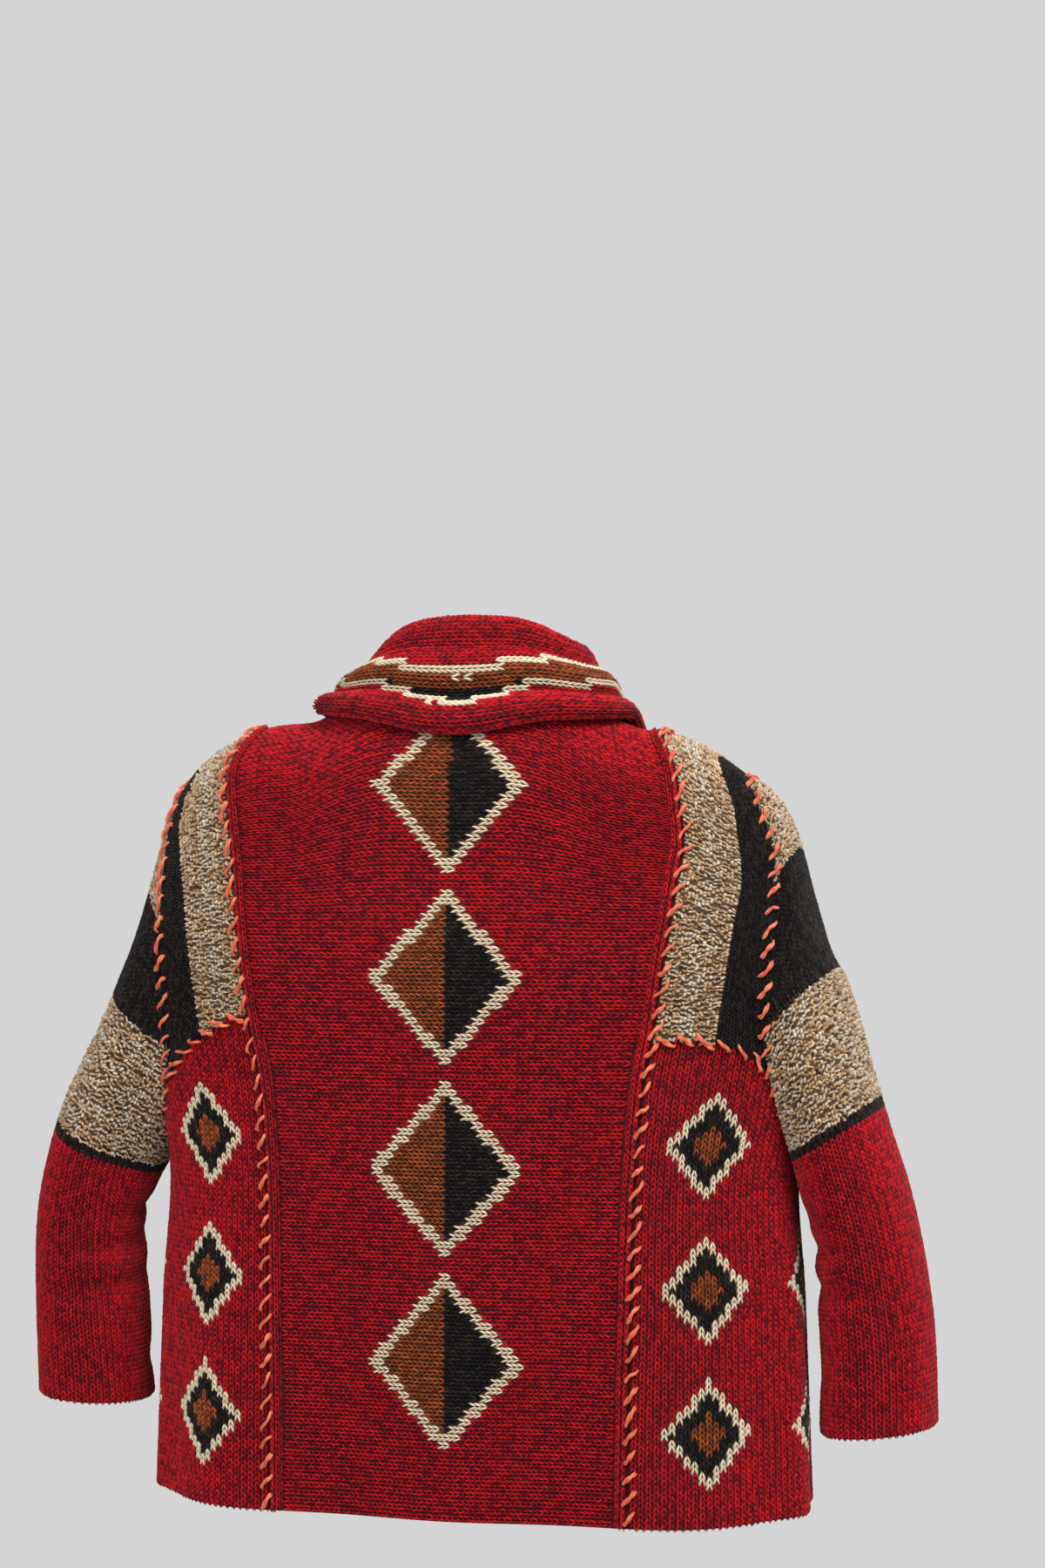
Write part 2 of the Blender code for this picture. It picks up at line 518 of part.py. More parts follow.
def make_side(which, yarn):
    """A side panel under the arm, from the back's inner seam round to the front's."""
    side = SIDES[which]
    loop = armhole_loop(side)
    sleeve_normals = sleeve_seam(which)["normals"]
    inner_reach, outer_reach = seam_reaches(side)
    ends = np.array((inner_reach[STRIP_ROWS], outer_reach[-1]))
    share = np.array(STRIP_COLUMNS)
    seam_x = inner_seam(inner_reach[STRIP_ROWS:], side)
    end_x = seam_x[0] * (1 - share) + armhole_seam(outer_reach, side)[-1] * share
    end_z = (follow(SHOULDER_LINE, end_x)
             - drop_at(ends[0] * (1 - share) + ends[1] * share))
    end_angle = side_angle(end_x, end_z)
    top_angle = np.concatenate([-end_angle, loop["angle"], end_angle[::-1]])
    top_z = np.concatenate([end_z, loop["height"], end_z[::-1]])
    seam_z = follow(SHOULDER_LINE, seam_x) - drop_at(inner_reach[STRIP_ROWS:])
    seam_angle = side_angle(seam_x, seam_z)
    rows = (seam_z - seam_z[0]) / (seam_z[-1] - seam_z[0])
    z = top_z + rows[:, None] * (HEM - top_z)
    place = top_angle / top_angle[-1]
    even = np.linspace(-1, 1, len(place))
    evenness = smooth(rows / SIDE_EVEN_BELOW)[:, None]
    angle = seam_angle[:, None] * (place * (1 - evenness) + even * evenness)
    angle[0] = top_angle
    points, normals = with_normals(round_side, angle, z)
    under_arm = slice(len(share) - 1, len(place) - len(share) + 1)
    around = np.arange(len(place[under_arm])) + STRIP_ROWS
    normals[0, under_arm] = mitre(loop["normals"][around], sleeve_normals[around])
    outer, inner = wall_faces(points, normals, WALL, ("top", "first", "last"))
    return make_wall("side_" + which, mirrored(outer, side), mirrored(inner, side), yarn)


def sleeve_seam(which):
    """Where the armhole lies on the sleeve, and the sleeve's normals along it."""
    side = SIDES[which]
    points = armhole_loop(side)["points"]
    along, angle, out = place_on_sleeve(points, side)
    seam = {"along": along, "round": angle, "out": out}
    surface = sleeve_surface(side, seam)
    step, turn = 0.004, 0.01
    ahead = surface(along + step, angle) - points
    rounds = surface(along + step, angle + turn) - surface(along + step, angle - turn)
    seam["normals"] = unit(np.cross(ahead, rounds))
    seam["surface"] = surface
    return seam


def make_sleeve(which, yarn):
    """A set-in sleeve from the armhole to the open cuff."""
    side = SIDES[which]
    seam = sleeve_seam(which)
    loop = armhole_loop(side)
    rows = np.linspace(0, 1, SLEEVE_ROWS + 1)[:, None] ** SLEEVE_ROW_POWER
    angle = np.append(seam["round"], seam["round"][0])
    start = np.append(seam["along"], seam["along"][0])
    along = start + rows * (sleeve_length(side) - start)
    angle = np.broadcast_to(angle, along.shape).copy()
    points, normals = with_normals(seam["surface"], along, angle)
    points[0] = np.append(loop["points"], loop["points"][:1], axis=0)
    seam_cut = mitre(loop["normals"], seam["normals"])
    normals[0] = np.append(seam_cut, seam_cut[:1], axis=0)
    outer, inner = wall_faces(points, normals, WALL, ("top",))
    for face in (outer, inner):
        face[:, -1] = face[:, 0]
    return make_wall("sleeve_" + which, mirrored(outer, side), mirrored(inner, side), yarn, True)


def collar_half(which):
    """Points of half the collar, from the centre back to the bottom of the V, on one side."""
    section = np.array(COLLAR)
    fold_height = np.maximum(section[:, 3], 0)
    section[:, 2] -= SIDES[which]["fold_lean"] * fold_height
    section[:, 3] -= SIDES[which]["fold_sink"] * fold_height
    neck_x = neckline_columns()[:-1]
    seam = over_shoulder(neck_x, neckline_reach(neck_x))
    step, margin = 1e-3, 1e-5
    beside = np.clip(neck_x + step, 0, NECK_HALF_WIDTH - margin)
    run = unit((over_shoulder(beside, neckline_reach(beside)) - seam)[:, :2])
    turned = smooth(np.linspace(0, 1, NECK_COLUMNS + 1)[:-1])[:, None]
    out = section[:, 0] * (1 - turned) + section[:, 2] * turned
    up = section[:, 1] * (1 - turned) + section[:, 3] * turned
    behind = np.stack([seam[:, None, 0] + run[:, None, 1] * out,
                       seam[:, None, 1] - run[:, None, 0] * out,
                       seam[:, None, 2] + up], -1)

    reach, edge = (a[:V_ROWS + 1, None] for a in front_edge_reaches())
    z = follow(SHOULDER_LINE, edge) - drop_at(reach)
    width, fullness = (follow(LAPEL, z, c) for c in (1, 2))
    on_shoulder = (section[:, 2], section[:, 3] + follow(SHOULDER_LINE, NECK_HALF_WIDTH)
                   - follow(SHOULDER_LINE, NECK_HALF_WIDTH + section[:, 2]))
    falls = section[:, 4] > 0
    lapel = (np.where(falls, section[:, 4] * width, section[:, 4] * fullness),
             section[:, 5] * np.where(falls, 0.5 + 0.5 * fullness, fullness)
             + np.where(falls, LAPEL_CLEAR * (1 - fullness), 0))
    turned = smooth(reach / LAPEL_TURN)
    out = on_shoulder[0] * (1 - turned) + lapel[0] * turned
    over = on_shoulder[1] * (1 - turned) + lapel[1] * turned
    base, normal = with_normals(over_shoulder, edge + out, reach + 0 * out)
    lift = unit(np.array((0, 0, 1)) * (1 - turned[..., None]) + normal * turned[..., None])
    ahead = base + lift * over[..., None]
    return np.concatenate([behind, ahead])


def collar_points():
    """The collar's middle surface: a row for each section, from the left V to the right."""
    left = mirrored(collar_half("left")[:0:-1], SIDES["left"])
    return np.concatenate([left, collar_half("right")])


def collar_normals():
    """Normals of the collar's middle surface, on the side that faces the body at its seam."""
    points = collar_points()
    return unit(np.cross(np.gradient(points, axis=0), np.gradient(points, axis=1)))


def collar_seam_cut():
    """The mitre between the collar and the panels, for each section of the collar."""
    neck_x = neckline_columns()[:-1]
    front_reach, front_out = (a[:V_ROWS + 1] for a in front_edge_reaches())
    half = with_normals(over_shoulder, np.append(neck_x, front_out),
                        np.append(neckline_reach(neck_x), front_reach))[1]
    left = mirrored(half[:0:-1], SIDES["left"])
    return mitre(np.concatenate([left, half]), collar_normals()[:, 0])


def collar_neck():
    """The collar's sections along the back neckline."""
    centre = NECK_COLUMNS + V_ROWS
    return slice(centre - NECK_COLUMNS, centre + NECK_COLUMNS + 1)


def collar_front(which):
    """The collar's sections down one front edge, from the shoulder."""
    centre = NECK_COLUMNS + V_ROWS
    if which == "right":
        return slice(centre + NECK_COLUMNS, None)
    return slice(centre - NECK_COLUMNS, None, -1)


def make_collar(yarn):
    """The shawl collar, folded over with two deep rolls behind and lapels in front."""
    points = collar_points()
    normals = collar_normals()
    normals[:, 0] = collar_seam_cut()
    outer, inner = wall_faces(points, normals, COLLAR_WALL, ("first",))
    return make_wall("collar", outer, inner, yarn)


def build_cardigan():
    for old in list(bpy.data.objects):
        bpy.data.objects.remove(old)
    yarns = {name: make_yarn(name + "_yarn", *finish) for name, finish in YARNS.items()}
    make_back_panel(yarns["back_panel"])
    make_collar(yarns["collar"])
    for which in SIDES:
        make_front(which, yarns["front"])
        make_strip(which, yarns["strip"])
        make_side(which, yarns["side"])
        make_sleeve(which, yarns["sleeve"])


build_cardigan()
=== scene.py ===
# %% [markdown]
# # Hand-knitted patchwork cardigan
#
# The looks of the worn cardigan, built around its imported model. Each knitted piece becomes a thin
# cloth with every stitch on it as two legs of wool. Coral whip stitches cross the seams, and a
# plain stage, soft light and the camera follow. Metres, Z up, the back faces -Y.

# %% Frame
import json
import math

import bmesh
import bpy
import numpy as np
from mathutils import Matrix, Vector

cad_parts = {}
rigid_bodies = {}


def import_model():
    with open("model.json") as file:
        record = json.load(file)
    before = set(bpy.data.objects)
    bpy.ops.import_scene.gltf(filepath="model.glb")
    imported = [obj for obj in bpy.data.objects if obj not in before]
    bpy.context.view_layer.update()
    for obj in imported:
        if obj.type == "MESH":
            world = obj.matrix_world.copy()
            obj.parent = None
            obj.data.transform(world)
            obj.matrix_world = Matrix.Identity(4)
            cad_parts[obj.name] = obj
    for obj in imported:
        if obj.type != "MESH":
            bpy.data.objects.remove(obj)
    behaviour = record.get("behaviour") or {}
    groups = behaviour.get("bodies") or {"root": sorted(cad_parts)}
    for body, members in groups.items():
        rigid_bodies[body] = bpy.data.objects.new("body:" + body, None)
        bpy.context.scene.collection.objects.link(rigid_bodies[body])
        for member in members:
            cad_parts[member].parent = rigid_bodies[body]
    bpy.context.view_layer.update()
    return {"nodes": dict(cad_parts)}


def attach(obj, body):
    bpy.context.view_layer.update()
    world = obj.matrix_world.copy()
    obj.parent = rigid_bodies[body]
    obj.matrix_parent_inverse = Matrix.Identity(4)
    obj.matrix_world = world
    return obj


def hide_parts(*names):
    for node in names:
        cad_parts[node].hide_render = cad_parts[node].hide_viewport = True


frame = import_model()
random = np.random.default_rng(11)
print("packed nodes:", len(frame["nodes"]))

# %% [markdown]
# ## The form of the garment
#
# A worn cardigan takes its form from shoulders, arms and its own weight. The form could be read
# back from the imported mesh, but a mesh doesn't say where a row of stitches runs. So the tables
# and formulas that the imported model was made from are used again: they turn a row and a column
# of knitting into a place, and both models have one form.

# %% Driving dimensions
HEM = -0.600
UNDERARM = -0.335
ARCH = 0.130
BELOW_ARCH = 0.200
ROUNDNESS = 2.5
HEM_FOLD = 0.0042
HEM_FLUTES = (9, 5)           # waves round the hem, of which the second set is shallower
SECOND_FLUTE = 0.7
FOLD_START = -0.240
NECK_HALF_WIDTH = 0.078
NAPE_REACH = -0.33
NECK_POINT_HEIGHT = 0.004
FRONT_GAP = 0.012
V_BOTTOM = -0.300
LAPEL_CLEAR = 0.0030
LAPEL_TURN = 0.9
UNDERARM_CURVE = 1.8
SHOULDER_TILT = 0.16
TILT_HEIGHTS = (-0.160, -0.040)
STRIP_ROWS = 11
NECK_COLUMNS = 6
V_ROWS = 13
FRONT_ROWS = 8                # rows of the front edge below the V
UNDERARM_COLUMNS = 4
SEAM_FADE = 0.060

# %% Tables of the body
# distance from the centre, height of the shoulder ridge there
SHOULDER_LINE = ((0.000, 0.015), (0.060, 0.012), (0.080, 0.003), (0.120, -0.020), (0.155, -0.026),
                 (0.175, -0.032), (0.195, -0.044), (0.210, -0.055), (0.220, -0.066),
                 (0.240, -0.094), (0.270, -0.140))
# height, half width of the body, middle of its depth, depth of the back, depth of the front
BODY = ((-0.600, 0.250, -0.010, 0.105, 0.120), (-0.450, 0.245, -0.010, 0.103, 0.120),
        (-0.335, 0.242, -0.010, 0.102, 0.120), (-0.300, 0.250, -0.010, 0.101, 0.121),
        (-0.200, 0.268, -0.018, 0.096, 0.122), (-0.100, 0.270, -0.026, 0.078, 0.102),
        (-0.050, 0.270, -0.030, 0.079, 0.093), (0.020, 0.270, -0.030, 0.080, 0.090))
# drop below the ridge, half distance between the seams beside the back panel
INNER_SEAM = ((0.000, 0.158), (0.020, 0.171), (0.050, 0.174), (0.075, 0.1735), (0.100, 0.170),
              (0.140, 0.165), (0.170, 0.1607), (0.215, 0.154), (0.255, 0.1464), (0.290, 0.1427),
              (0.450, 0.137), (0.600, 0.135))
# drop below the ridge, distance of the armhole seam from the centre
ARMHOLE = ((0.000, 0.2175), (0.020, 0.231), (0.047, 0.2335), (0.111, 0.2305), (0.183, 0.229),
           (0.230, 0.2365))
# height, distance of the front edge from the centre
FRONT_EDGE = ((HEM, FRONT_GAP), (-0.330, FRONT_GAP), (V_BOTTOM, FRONT_GAP), (-0.200, 0.030),
              (-0.120, 0.048), (-0.060, 0.062), (-0.020, 0.073), (NECK_POINT_HEIGHT, NECK_HALF_WIDTH))
# height, share of the yoke's sideways shift that is left there
YOKE_SHIFT_FADE = ((-0.130, 0.0), (-0.120, 0.0), (-0.050, 0.8), (0.000, 1.0), (0.010, 1.0))

print("rows in the table of the body:", len(BODY))

# %% Tables of the sleeves
# The two sides hang a little differently. Sleeve tops: distance from the centre, height. Sleeve
# turn: distance along the top, degrees that the sleeve points below level. Stripes: where each
# yarn of the sleeve ends, along its top. Collar fold: how far it leans to the neck and how far it
# sinks on the shoulder, in shares of its height.
SIDES = {
    "left": {
        "sign": -1, "yoke_shift": 0.012, "strip_end_drop": (0.209, 0.209),
        "sleeve_top": ((0.2375, -0.0890), (0.2455, -0.1140), (0.2544, -0.1430), (0.2654, -0.1770),
                       (0.2788, -0.2090), (0.2925, -0.2400), (0.3090, -0.2720), (0.3240, -0.3020),
                       (0.3390, -0.3420), (0.3510, -0.3900), (0.3560, -0.4500), (0.3560, -0.5350)),
        "sleeve_turn": ((0.000, 20), (0.071, 36), (0.156, 52), (0.262, 61), (0.330, 70),
                        (0.400, 80), (0.480, 85), (0.600, 85)),
        "stripes": ((0.0746, "beige"), (0.160, "black"), (0.266, "beige"), (0.274, "black"),
                    (1.000, "red")),
        "fold_lean": 0.34, "fold_sink": 0.32,
    },
    "right": {
        "sign": 1, "yoke_shift": -0.012, "strip_end_drop": (0.226, 0.192),
        "sleeve_top": ((0.2160, -0.0555), (0.2230, -0.0605), (0.2334, -0.0736), (0.2393, -0.0877),
                       (0.2445, -0.1060), (0.2520, -0.1430), (0.2640, -0.1870), (0.2740, -0.2060),
                       (0.2847, -0.2370), (0.2950, -0.2750), (0.3080, -0.3180), (0.3230, -0.3660),
                       (0.3340, -0.4200), (0.3400, -0.4700), (0.3420, -0.5350)),
        "sleeve_turn": ((0.000, 12), (0.072, 22), (0.167, 45), (0.267, 57), (0.340, 68),
                        (0.420, 79), (0.500, 84), (0.600, 84)),
        "stripes": ((0.0685, "beige"), (0.164, "black"), (0.264, "beige"), (0.272, "black"),
                    (1.000, "red")),
        "fold_lean": 0.0, "fold_sink": 0.0,
    },
}
# distance along the sleeve's top, its half thickness, half depth, and middle of its depth
SLEEVE_SECTION = ((0.000, 0.034, 0.034, -0.030), (0.066, 0.038, 0.052, -0.021),
                  (0.161, 0.039, 0.071, -0.009), (0.275, 0.037, 0.069, -0.005),
                  (0.340, 0.038, 0.064, -0.001), (0.420, 0.040, 0.058, 0.004),
                  (0.600, 0.043, 0.051, 0.010))
# place along the sleeve's top, how far round from the top in degrees, reach along, reach round
# in degrees, and depth of each large crease
SLEEVE_CREASES = ((0.318, 150, 0.013, 70, 0.0050), (0.352, 190, 0.013, 60, 0.0055),
                  (0.392, 215, 0.012, 65, 0.0045), (0.455, 130, 0.014, 60, 0.0030))
CREASE_LEAN = 0.00012         # metres along the sleeve for each degree round it

print("stripes of each sleeve:", {which: len(SIDES[which]["stripes"]) for which in SIDES})

# %% Tables of the collar
# The folded collar in section, from its seam up the stand, over the fold and down to its rolled
# edge: outwards and up at the centre back, the same on the shoulder, and share of the lapel's
# width (or metres inwards, where negative) with height over the front
COLLAR = ((0.0000, 0.0000, 0.0000, 0.0000, 0.000, 0.0000),
          (-0.0035, 0.0220, -0.0035, 0.0150, -0.009, 0.0008),
          (-0.0085, 0.0450, -0.0060, 0.0275, -0.017, 0.0030),
          (-0.0100, 0.0575, -0.0045, 0.0345, -0.0225, 0.0075),
          (-0.0055, 0.0625, 0.0010, 0.0375, -0.0215, 0.0140),
          (0.0015, 0.0585, 0.0075, 0.0345, -0.0150, 0.0180),
          (0.0065, 0.0485, 0.0115, 0.0275, -0.0070, 0.0180),
          (0.0070, 0.0400, 0.0130, 0.0215, 0.040, 0.0155),
          (0.0130, 0.0335, 0.0185, 0.0185, 0.220, 0.0165),
          (0.0190, 0.0250, 0.0250, 0.0145, 0.400, 0.0165),
          (0.0210, 0.0160, 0.0290, 0.0080, 0.560, 0.0140),
          (0.0175, 0.0090, 0.0280, 0.0020, 0.660, 0.0095),
          (0.0170, 0.0020, 0.0300, -0.0030, 0.740, 0.0095),
          (0.0240, -0.0025, 0.0360, -0.0035, 0.820, 0.0125),
          (0.0320, -0.0085, 0.0420, -0.0065, 0.930, 0.0120),
          (0.0350, -0.0165, 0.0445, -0.0115, 1.000, 0.0085),
          (0.0300, -0.0240, 0.0415, -0.0160, 0.950, 0.0058),
          (0.0225, -0.0230, 0.0360, -0.0145, 0.850, 0.0056))
# height on the front, width of the lapel, and its fullness
LAPEL = ((-0.300, 0.028, 0.42), (-0.270, 0.034, 0.52), (-0.240, 0.040, 0.68), (-0.200, 0.049, 1.0),
         (-0.100, 0.058, 1.0), (0.004, 0.050, 1.0))

print("nape to hem:", -HEM, "m; armhole to armhole:", 2 * ARMHOLE[0][1], "m")

# %% Curves through the tables
NO_LENGTH = 1e-12             # a vector shorter than this isn't made a unit one
SURFACE_STEP = 1e-4           # how far beside a point a surface is read for its normal
FINE_STEPS = 400              # points that a length along a curve is measured at


def follow(table, at, column=1):
    """Read one column of a table at any place, on a smooth curve through its rows."""
    rows = np.array(table, dtype=float)
    place, value = rows[:, 0], rows[:, column]
    slope = np.gradient(value, place)
    at = np.clip(at, place[0], place[-1])
    row = np.clip(np.searchsorted(place, at, side="right") - 1, 0, len(place) - 2)
    span = place[row + 1] - place[row]
    t = (at - place[row]) / span
    return ((1 + 2 * t) * (1 - t) ** 2 * value[row] + t * (1 - t) ** 2 * span * slope[row]
            + t * t * (3 - 2 * t) * value[row + 1] - t * t * (1 - t) * span * slope[row + 1])


def smooth(share):
    """Ease from 0 to 1."""
    share = np.clip(share, 0, 1)
    return share * share * (3 - 2 * share)


def unit(vectors):
    return vectors / np.maximum(np.linalg.norm(vectors, axis=-1, keepdims=True), NO_LENGTH)


def lengths_along(points):
    """How far along a line of points each of them is."""
    return np.concatenate([[0], np.cumsum(np.linalg.norm(np.diff(points, axis=0), axis=1))])


def with_normals(surface, first, second, step=SURFACE_STEP):
    """Points of a surface and its outward unit normals."""
    across = surface(first + step, second) - surface(first - step, second)
    along = surface(first, second + step) - surface(first, second - step)
    return surface(first, second), unit(np.cross(across, along))


def mirrored(vectors, side):
    return vectors * np.array((side["sign"], 1, 1))


def settled(points):
    """Points after the shoulders have tilted, the wearer's left one up and the right one down."""
    x, z = points[..., 0], points[..., 2]
    low, high = TILT_HEIGHTS
    lift = -SHOULDER_TILT * x * np.abs(x) * smooth((z - low) / (high - low))
    return points + np.stack([0 * lift, 0 * lift, lift], -1)


print("ridge over the armhole:", round(float(follow(SHOULDER_LINE, ARMHOLE[0][1])), 4), "m")

# %% [markdown]
# ### Body
#
# Back, fronts and strips are one soft tube that closes over the shoulders. A sculpted mesh would
# give this form too, but two coordinates, out from the centre and over the shoulder from behind
# to the front, let the rows of knitting run on from piece to piece.

# %% Body
def drop_at(reach):
    """Drop below the ridge at an over-shoulder coordinate, 0 on the ridge and 1 at the arch's end."""
    reach = np.abs(reach)
    return np.where(reach < 1, ARCH * (1 - np.cos(np.minimum(reach, 1) * np.pi / 2)),
                    ARCH + (reach - 1) * BELOW_ARCH)


def reach_at(drop):
    """The over-shoulder coordinate at a drop, without its sign."""
    inside = np.arccos(1 - np.clip(drop / ARCH, 0, 1)) * 2 / np.pi
    return np.where(drop < ARCH, inside, 1 + (drop - ARCH) / BELOW_ARCH)


def body_surface(out, z, round_share, arch, face):
    """A point of the body form; out is its distance from the centre, face is -1 behind, 1 in front."""
    depth = np.where(face < 0, follow(BODY, z, 3), follow(BODY, z, 4))
    y = follow(BODY, z, 2) + face * depth * arch * round_share
    half_width = follow(BODY, z, 1)
    from_centre_back = np.arctan2(face * round_share, np.abs(out) / half_width) + np.pi / 2
    flute = HEM_FOLD * smooth((FOLD_START - z) / (FOLD_START - HEM))
    many, few = (np.cos(count * from_centre_back) for count in HEM_FLUTES)
    flute = flute * (many - SECOND_FLUTE * few)
    away = unit(np.stack([out / half_width ** 2, (y - follow(BODY, z, 2)) / depth ** 2], -1))
    return np.stack([out + away[..., 0] * flute, y + away[..., 1] * flute, z + 0 * out], -1)


def over_shoulder(out, reach):
    """The body form by distance from the centre and over-shoulder coordinate (negative behind)."""
    out, reach = np.broadcast_arrays(np.asarray(out, float), np.asarray(reach, float))
    z = follow(SHOULDER_LINE, np.abs(out)) - drop_at(reach)
    share = np.clip(np.abs(out) / follow(BODY, z, 1), 0, 1)
    round_share = (1 - share ** ROUNDNESS) ** (1 / ROUNDNESS)
    arch = np.sin(np.minimum(np.abs(reach), 1) * np.pi / 2)
    return body_surface(out, z, round_share, arch, np.where(reach < 0, -1.0, 1.0))


def round_side(angle, z):
    """The body form by angle round from the side seam line (negative behind) and height."""
    angle, z = np.broadcast_arrays(np.asarray(angle, float), np.asarray(z, float))
    out = follow(BODY, z, 1) * np.abs(np.cos(angle)) ** (2 / ROUNDNESS)
    round_share = np.abs(np.sin(angle)) ** (2 / ROUNDNESS)
    return body_surface(out, z, round_share, 1.0, np.where(angle < 0, -1.0, 1.0))


def side_angle(out, z):
    """The angle of round_side at a distance from the centre, without its sign."""
    share = np.clip(out / follow(BODY, z, 1), 0, 1)
    return np.arccos(share ** (ROUNDNESS / 2))


print("middle of the back, level with the underarm:", over_shoulder(0.0, -reach_at(-UNDERARM)).round(3))

# %% [markdown]
# ### Seams
#
# The maker joins the knitted pieces edge to edge. Each seam is a line on the body form, written
# as a distance from the centre for each place over the shoulder, so that neighbours share it.

# %% Seams
EDGE_ROUNDS = 8               # the front edge's height and distance are found from each other


def shifted(out, drop, side):
    """A seam's distance from the centre after the yoke has slipped to one side."""
    z = follow(SHOULDER_LINE, out) - drop
    return out + side["yoke_shift"] * follow(YOKE_SHIFT_FADE, z)


def inner_seam(reach, side):
    drop = drop_at(reach)
    return shifted(follow(INNER_SEAM, drop), drop, side)


def armhole_seam(reach, side):
    drop = drop_at(reach)
    return shifted(follow(ARMHOLE, drop), drop, side)


def height_on_body(out, reach):
    return follow(SHOULDER_LINE, np.abs(out)) - drop_at(reach)


def hem_reach(out):
    return reach_at(follow(SHOULDER_LINE, np.abs(out)) - HEM)


def inner_seam_hem():
    """The over-shoulder coordinate where the inner seam meets the hem."""
    return hem_reach(follow(INNER_SEAM, -HEM))


def strip_ends(side):
    """Over-shoulder coordinates of a yoke strip's ends, on its inner seam and on the armhole."""
    return reach_at(np.array(side["strip_end_drop"]))


def neckline_reach(out):
    """The over-shoulder coordinate of the back neckline, and of the ridge beside it."""
    return NAPE_REACH * np.sqrt(np.clip(1 - (out / NECK_HALF_WIDTH) ** 2, 0, 1))


print("inner seam meets the hem at:", round(float(inner_seam_hem()), 3), "over the shoulder")

# %% Front edge and armhole
def front_edge():
    """Over-shoulder coordinates and distances from the centre down a front edge."""
    top = follow(SHOULDER_LINE, FRONT_GAP)
    last = reach_at(top - V_BOTTOM)
    hem = hem_reach(FRONT_GAP)
    reach = np.concatenate([np.linspace(0, last, V_ROWS + 1), np.linspace(last, hem, FRONT_ROWS + 1)[1:]])
    z = np.interp(reach, (0, 1, hem), (NECK_POINT_HEIGHT, top - ARCH, HEM))
    for _ in range(EDGE_ROUNDS):
        out = follow(FRONT_EDGE, z)
        z = height_on_body(out, reach)
    return reach, out


def armhole_loop(side):
    """The armhole from the shoulder ridge down the back, under the arm and up the front."""
    reach = strip_ends(side)[1] * np.linspace(0, 1, STRIP_ROWS + 1)
    out = armhole_seam(reach, side)
    end_height = height_on_body(out[-1], reach[-1])
    end_angle = side_angle(out[-1], end_height)
    share = np.linspace(1, 0, UNDERARM_COLUMNS + 1)[1:]
    angle = end_angle * share
    z = UNDERARM + (end_height - UNDERARM) * share ** UNDERARM_CURVE
    back_angle = np.concatenate([-angle, angle[:-1][::-1]])
    back_z = np.concatenate([z, z[:-1][::-1]])
    parts = (with_normals(over_shoulder, out, -reach), with_normals(round_side, back_angle, back_z),
             with_normals(over_shoulder, out[::-1][:-1], reach[::-1][:-1]))
    return {"points": np.concatenate([p[0] for p in parts]),
            "normals": np.concatenate([p[1] for p in parts]),
            "angle": back_angle, "height": back_z}


print("yoke strips end at:", {which: strip_ends(SIDES[which]).round(2) for which in SIDES})

# %% [markdown]
# ### Sleeves
#
# Each sleeve is a wide tube sewn round the armhole, and it hangs bent at the elbow. A bent
# cylinder would do for the tube but not for its end. Here a section follows the line of the arm,
# and near the armhole it takes on the seam's own outline.

# %% Sleeves
SLEEVE_SEARCH = (-0.01, 0.40, 821)  # first and last place along a sleeve that is tried, and how many


def sleeve_axis(side, along):
    """The sleeve's top line, the way it points and the way out of it, at distances along the top."""
    shoulder = armhole_seam(0.0, side)
    top = np.vstack([(shoulder, follow(SHOULDER_LINE, shoulder)), side["sleeve_top"]])
    fine = np.linspace(0, 1, FINE_STEPS)
    knots = np.linspace(0, 1, len(top))
    track = np.stack([follow(np.column_stack([knots, top]), fine, c) for c in (1, 2)], -1)
    length = lengths_along(track)
    x, z = (np.interp(along, length, track[:, c]) for c in (0, 1))
    turn = np.radians(follow(side["sleeve_turn"], along))
    return x, z, np.cos(turn), -np.sin(turn), length[-1]


def place_on_sleeve(points, side):
    """For each point: which level section of the sleeve it is in, how far round, and how far out."""
    along = np.linspace(*SLEEVE_SEARCH)
    x, z, ahead_x, ahead_z, _ = sleeve_axis(side, along)
    off = ((points[:, None, 0] - x) * ahead_x + (points[:, None, 2] - z) * ahead_z)
    first = np.argmax(off < 0, axis=1)
    place = np.arange(len(points))
    share = off[place, first - 1] / (off[place, first - 1] - off[place, first])
    along = along[first - 1] + share * (along[1] - along[0])
    x, z, ahead_x, ahead_z, _ = sleeve_axis(side, along)
    thick, deep, middle = (follow(SLEEVE_SECTION, along, c) for c in (1, 2, 3))
    rise = ((points[:, 0] - x) * -ahead_z + (points[:, 2] - z) * ahead_x) / thick + 1
    back = (points[:, 1] - middle) / deep
    return along, np.arctan2(back, rise), np.hypot(rise, back)


